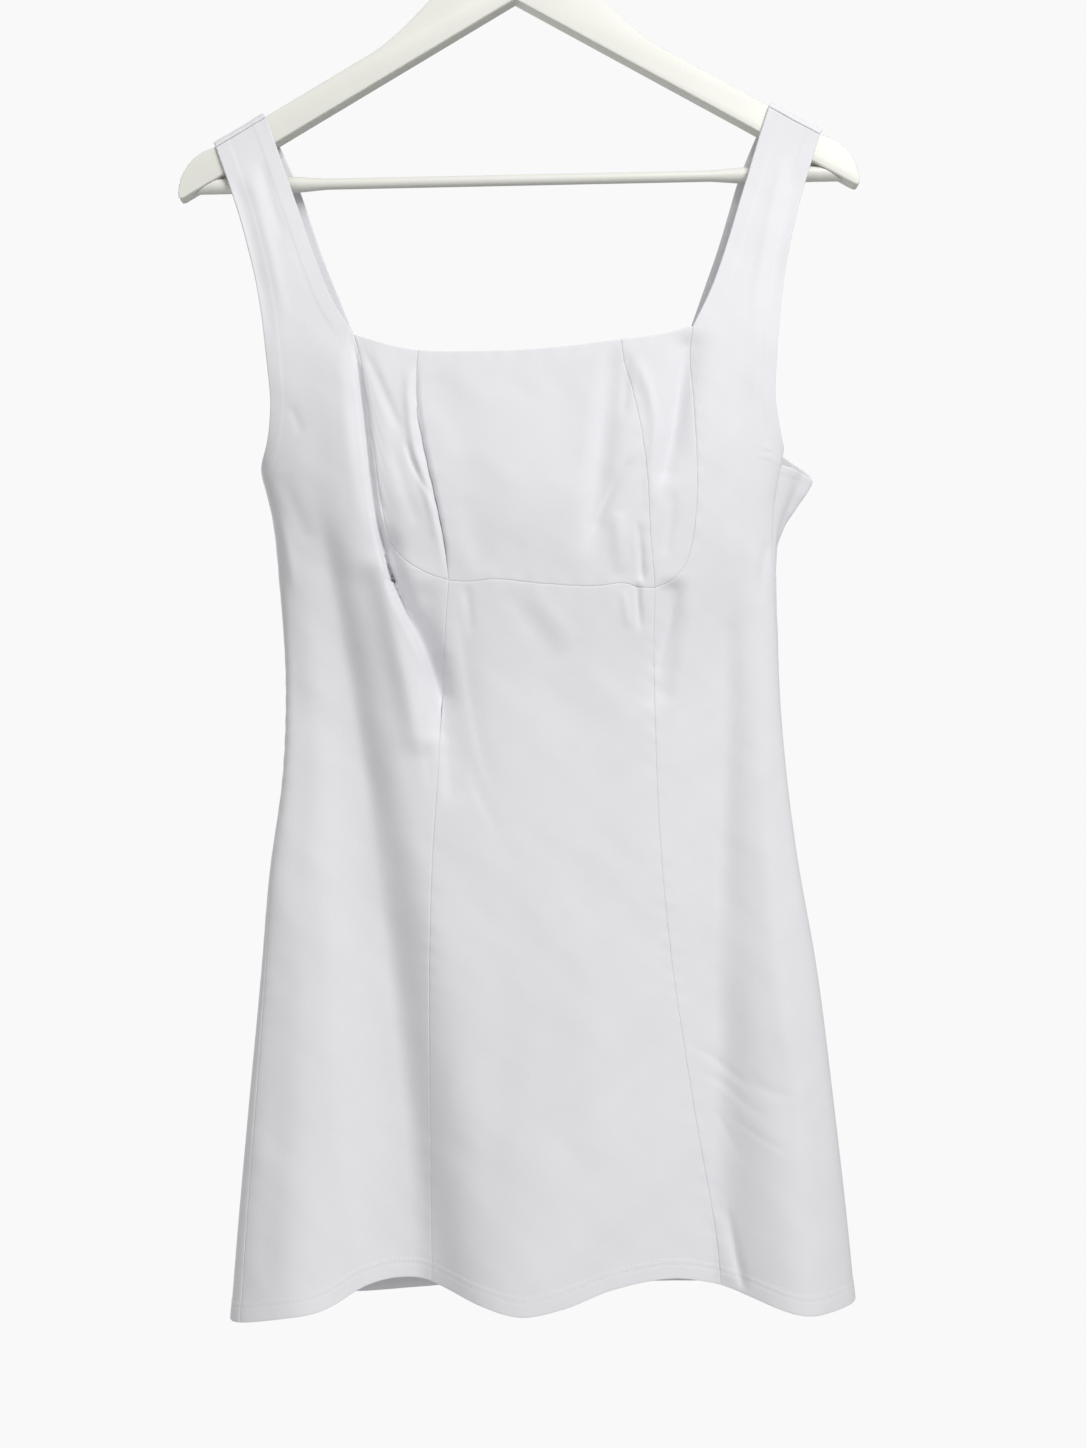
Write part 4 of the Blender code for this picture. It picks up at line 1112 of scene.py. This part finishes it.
def hanger_hook(surface):
    """The wire hook: a stem in the neck, a bend and a long crown with an open mouth."""
    radius = HOOK_INSIDE + HOOK_WIRE
    centre = HOOK_WIRE - radius
    start = math.pi + HOOK_BEND_TURN
    joint = (radius * math.cos(start), centre + radius * math.sin(start))
    shift = joint[0] + HOOK_BEND * (1 - math.cos(HOOK_BEND_TURN))
    stem_top = joint[1] - HOOK_BEND * math.sin(HOOK_BEND_TURN)
    path = [(0, NECK_TOP - STEM_SUNK + SEAT_GAP), (0, NECK_TOP), (0, stem_top - 4)]
    path += [
        (
            shift * k / BEND_STEPS - HOOK_BEND * (1 - math.cos(HOOK_BEND_TURN * k / BEND_STEPS)),
            stem_top + HOOK_BEND * math.sin(HOOK_BEND_TURN * k / BEND_STEPS),
        )
        for k in range(BEND_STEPS + 1)
    ]
    for k in range(1, CROWN_STEPS + 1):
        turn = start + (HOOK_TIP_ANGLE - start) * k / CROWN_STEPS
        path.append((radius * math.cos(turn), centre + radius * math.sin(turn)))
    bm = bmesh.new()
    rings = []
    points = [Vector((x, 0, z)) for x, z in path]
    for k, point in enumerate(points):
        ahead = points[min(k + 1, len(points) - 1)] - points[max(k - 1, 0)]
        ahead.normalize()
        turn = ahead.to_track_quat("Z", "Y").to_matrix().to_4x4()
        made = bmesh.ops.create_circle(
            bm,
            segments=WIRE_SIDES,
            radius=HOOK_WIRE * MM,
            matrix=Matrix.Translation(point * MM) @ turn,
        )
        rings.append(list({edge for vert in made["verts"] for edge in vert.link_edges}))
    for first, second in zip(rings, rings[1:]):
        bmesh.ops.bridge_loops(bm, edges=first + second)
    bmesh.ops.holes_fill(bm, edges=rings[0] + rings[-1])
    bmesh.ops.bevel(
        bm,
        geom=rings[-1],
        offset=TIP_ROUND * MM,
        segments=3,
        profile=0.5,
        affect="EDGES",
        material=-1,
    )
    return finished("steel_hook", mesh_of("steel_hook", bm), surface, 50)


# Sewing thread


def hem_stitches(surface):
    """Two rows of stitches all round the hem, one stitch at a time."""
    bm = bmesh.new()
    for row in HEM_STITCH_ROWS:
        angles = np.linspace(0, 2 * math.pi, HEM_SAMPLES)
        line = form(angles, hem_height(angles) + row, fine=True)
        line = line + HEM_STITCH_LIFT * outwards(np.stack([angles, angles], axis=-1))
        run = np.concatenate([[0], np.cumsum(np.linalg.norm(np.diff(line, axis=0), axis=1))])
        count = int(run[-1] / HEM_STITCH_SPACING)
        starts = np.linspace(0, run[-1], count, endpoint=False)
        for start in starts:
            ends = [
                Vector([np.interp(at, run, line[:, k]) for k in range(3)])
                for at in (start, start + HEM_STITCH_LENGTH)
            ]
            middle = (ends[0] + ends[1]) / 2
            along = (ends[1] - ends[0]).normalized()
            turn = along.to_track_quat("X", "Z").to_matrix().to_4x4()
            long, wide = HEM_STITCH_LENGTH / 2 * MM, HEM_STITCH_WIDTH / 2 * MM
            stitch = Matrix.Translation(middle * MM) @ turn @ Matrix.Diagonal((long, wide, wide, 1))
            bmesh.ops.create_icosphere(bm, subdivisions=1, radius=1, matrix=stitch)
    return finished("hem_stitches", mesh_of("hem_stitches", bm), surface)


# Materials


def add_node(tree, kind, settings=(), **links):
    """Adds a node with its settings; a link is a socket of another node or a plain value."""
    made = tree.nodes.new(kind)
    for name, value in dict(settings).items():
        setattr(made, name, value)
    for name, value in links.items():
        socket = made.inputs[name.replace("_", " ")]
        if isinstance(value, bpy.types.NodeSocket):
            tree.links.new(value, socket)
        else:
            socket.default_value = value
    return made


def new_material(name):
    """An empty material with its surface shader."""
    made = bpy.data.materials.new(name)
    made.use_nodes = True
    return made, made.node_tree, made.node_tree.nodes["Principled BSDF"]


def crepe():
    """Stretch crepe of polyester with some elastane: matt, with a very fine pebbled grain."""
    made, tree, surface = new_material("white stretch crepe")
    place = add_node(tree, "ShaderNodeTexCoord").outputs["Object"]
    cloud = add_node(
        tree, "ShaderNodeTexNoise", Vector=place, Scale=1 / (60 * MM), Detail=3.0, Roughness=0.5
    )
    tint = add_node(tree, "ShaderNodeMix", {"data_type": "RGBA"}, Factor=cloud.outputs["Fac"])
    tint.inputs[6].default_value = colour(CREPE_WHITE)
    tint.inputs[7].default_value = colour(CREPE_SHADE)
    tree.links.new(tint.outputs[2], surface.inputs["Base Color"])
    # the real grain is 0.3 mm across; it is drawn at 1.1 mm, so that it shows
    grain = add_node(
        tree, "ShaderNodeTexNoise", Vector=place, Scale=1 / (1.1 * MM), Detail=2.0, Roughness=0.6
    )
    drape = add_node(
        tree, "ShaderNodeTexNoise", Vector=place, Scale=1 / (9 * MM), Detail=2.0, Roughness=0.5
    )
    coarse = add_node(
        tree, "ShaderNodeBump", Height=drape.outputs["Fac"], Distance=0.35 * MM, Strength=0.25
    )
    fine = add_node(
        tree,
        "ShaderNodeBump",
        Height=grain.outputs["Fac"],
        Distance=0.12 * MM,
        Strength=0.5,
        Normal=coarse.outputs["Normal"],
    )
    tree.links.new(fine.outputs["Normal"], surface.inputs["Normal"])
    surface.inputs["Roughness"].default_value = 0.82
    surface.inputs["Specular IOR Level"].default_value = 0.3
    surface.inputs["Sheen Weight"].default_value = 0.12
    surface.inputs["Sheen Roughness"].default_value = 0.5
    return made


def thread():
    """Polyester sewing thread in the cloth's white, a little glossier and twisted."""
    made, tree, surface = new_material("white polyester thread")
    place = add_node(tree, "ShaderNodeTexCoord").outputs["Object"]
    twist = add_node(tree, "ShaderNodeTexNoise", Vector=place, Scale=1 / (0.6 * MM), Detail=1.0)
    rise = add_node(
        tree, "ShaderNodeBump", Height=twist.outputs["Fac"], Distance=0.1 * MM, Strength=0.4
    )
    tree.links.new(rise.outputs["Normal"], surface.inputs["Normal"])
    surface.inputs["Base Color"].default_value = colour(CREPE_WHITE)
    surface.inputs["Roughness"].default_value = 0.6
    return made


def paint():
    """Wood under a satin off-white spray paint: almost smooth, with a slight orange peel."""
    made, tree, surface = new_material("satin white paint on wood")
    place = add_node(tree, "ShaderNodeTexCoord").outputs["Object"]
    cloud = add_node(
        tree, "ShaderNodeTexNoise", Vector=place, Scale=1 / (30 * MM), Detail=3.0, Roughness=0.55
    )
    tint = add_node(tree, "ShaderNodeMix", {"data_type": "RGBA"}, Factor=cloud.outputs["Fac"])
    tint.inputs[6].default_value = colour(PAINT_WHITE)
    tint.inputs[7].default_value = colour(PAINT_SHADE)
    tree.links.new(tint.outputs[2], surface.inputs["Base Color"])
    peel = add_node(tree, "ShaderNodeTexNoise", Vector=place, Scale=1 / (2.5 * MM), Detail=2.0)
    rise = add_node(
        tree, "ShaderNodeBump", Height=peel.outputs["Fac"], Distance=0.02 * MM, Strength=0.4
    )
    tree.links.new(rise.outputs["Normal"], surface.inputs["Normal"])
    surface.inputs["Roughness"].default_value = 0.45
    surface.inputs["Coat Weight"].default_value = 0.15
    surface.inputs["Coat Roughness"].default_value = 0.25
    return made


def steel():
    """Polished chrome-plated steel wire, with faint drawing marks."""
    made, tree, surface = new_material("chrome plated steel wire")
    place = add_node(tree, "ShaderNodeTexCoord").outputs["Object"]
    marks = add_node(tree, "ShaderNodeTexNoise", Vector=place, Scale=1 / (1.5 * MM), Detail=2.0)
    wear = add_node(tree, "ShaderNodeMapRange", Value=marks.outputs["Fac"])
    wear.inputs["To Min"].default_value = 0.12
    wear.inputs["To Max"].default_value = 0.24
    tree.links.new(wear.outputs["Result"], surface.inputs["Roughness"])
    surface.inputs["Base Color"].default_value = colour(STEEL_GREY)
    surface.inputs["Metallic"].default_value = 1.0
    return made


# Camera, floor and light


def camera():
    """The photograph's view: straight on at waist height, rolled a little."""
    data = bpy.data.cameras.new("camera")
    data.sensor_width = 36
    data.lens = 36 * FOCAL_PIXELS / PHOTO_HEIGHT
    data.clip_start, data.clip_end = 0.05, 20
    made = bpy.data.objects.new("camera", data)
    bpy.context.scene.collection.objects.link(made)
    roll_cos, roll_sin = math.cos(CAMERA_ROLL), math.sin(CAMERA_ROLL)
    across, up, behind = (roll_cos, 0, -roll_sin), (roll_sin, 0, roll_cos), (0, -1, 0)
    turn = Matrix((across, up, behind)).transposed()
    made.matrix_world = Matrix.Translation(Vector(CAMERA_AT) * MM) @ turn.to_4x4()
    bpy.context.scene.camera = made


def floor():
    """A pale round floor far below, which fades out at its rim."""
    bm = bmesh.new()
    bmesh.ops.create_circle(
        bm,
        cap_ends=True,
        segments=FLOOR_SIDES,
        radius=FLOOR_RADIUS * MM,
        matrix=Matrix.Translation((0, 0, FLOOR_HEIGHT * MM)),
    )
    mesh = mesh_of("floor", bm)
    made, tree, surface = new_material("matt white floor")
    place = add_node(tree, "ShaderNodeTexCoord").outputs["Object"]
    flat = add_node(tree, "ShaderNodeVectorMath", {"operation": "MULTIPLY"})
    tree.links.new(place, flat.inputs[0])
    flat.inputs[1].default_value = (1, 1, 0)
    far = add_node(tree, "ShaderNodeVectorMath", {"operation": "LENGTH"})
    tree.links.new(flat.outputs[0], far.inputs[0])
    fade = add_node(tree, "ShaderNodeMapRange", {"interpolation_type": "SMOOTHSTEP"})
    tree.links.new(far.outputs["Value"], fade.inputs["Value"])
    fade.inputs["From Min"].default_value = 0.3 * FLOOR_RADIUS * MM
    fade.inputs["From Max"].default_value = FLOOR_RADIUS * MM
    fade.inputs["To Min"].default_value = 1
    fade.inputs["To Max"].default_value = 0
    tree.links.new(fade.outputs["Result"], surface.inputs["Alpha"])
    surface.inputs["Base Color"].default_value = colour("#F4F4F4")
    surface.inputs["Emission Color"].default_value = colour("#FFFFFF")
    surface.inputs["Emission Strength"].default_value = 0.2
    surface.inputs["Roughness"].default_value = 0.9
    mesh.materials.append(made)
    ground = bpy.data.objects.new("floor", mesh)
    bpy.context.scene.collection.objects.link(ground)


def area_light(name, at, aim, size, power):
    """A soft box at a place in millimetres, aimed at another."""
    data = bpy.data.lights.new(name, "AREA")
    data.shape = "RECTANGLE"
    data.size, data.size_y = (side * MM for side in size)
    data.energy = power
    made = bpy.data.objects.new(name, data)
    bpy.context.scene.collection.objects.link(made)
    towards = Vector(aim) - Vector(at)
    turn = towards.to_track_quat("-Z", "Y").to_matrix().to_4x4()
    made.matrix_world = Matrix.Translation(Vector(at) * MM) @ turn


def lights():
    """The soft boxes, the strongest from the right and above, in a white room."""
    for name, (at, aim, size, power) in LIGHTS.items():
        area_light(name, at, aim, size, power)
    world = bpy.data.worlds.new("white room")
    bpy.context.scene.world = world
    world.use_nodes = True
    tree = world.node_tree
    tree.nodes.clear()
    seen = add_node(tree, "ShaderNodeBackground", Color=colour(BACKGROUND), Strength=1.0)
    shed = add_node(tree, "ShaderNodeBackground", Color=colour("#FFFFFF"), Strength=ROOM_LIGHT)
    ray = add_node(tree, "ShaderNodeLightPath")
    mix = add_node(tree, "ShaderNodeMixShader")
    tree.links.new(ray.outputs["Is Camera Ray"], mix.inputs[0])
    tree.links.new(shed.outputs[0], mix.inputs[1])
    tree.links.new(seen.outputs[0], mix.inputs[2])
    out = add_node(tree, "ShaderNodeOutputWorld")
    tree.links.new(mix.outputs[0], out.inputs["Surface"])
    view = bpy.context.scene.view_settings
    view.view_transform = "Standard"
    view.look = "None"
    view.exposure = 0
    view.gamma = 1


# The whole object


def main():
    """Builds the stage and the pieces, hides the CAD part that each piece stands in for and hangs
    the pieces on the root body.
    """
    camera()
    lights()
    floor()
    crepe_cloth, white_thread = crepe(), thread()
    white_paint, chrome = paint(), steel()
    dressed = [
        (front_skirt(crepe_cloth), "front_skirt"),
        (bust_centre(crepe_cloth), "bust_centre"),
    ]
    for side, name in ((-1, "left"), (1, "right")):
        dressed.append((front_side(side, crepe_cloth), "front_side_" + name))
        dressed.append((bust_side(side, crepe_cloth), "bust_side_" + name))
        body, strap = back(side, crepe_cloth)
        dressed.append((body, "back_" + name))
        dressed.append((strap, "back_" + name))
    for piece, node in dressed:
        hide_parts(node)
        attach(piece, "root")
    for piece, node, slot in (
        (hanger_arms(white_paint), "hanger_arms", "painted_hanger"),
        (hanger_bar(white_paint), "hanger_bar", "painted_hanger"),
        (hanger_hook(chrome), "hanger_hook", "polished_steel"),
    ):
        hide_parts(node)
        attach(piece, "root")
    stitches = hem_stitches(white_thread)
    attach(stitches, "root")


main()
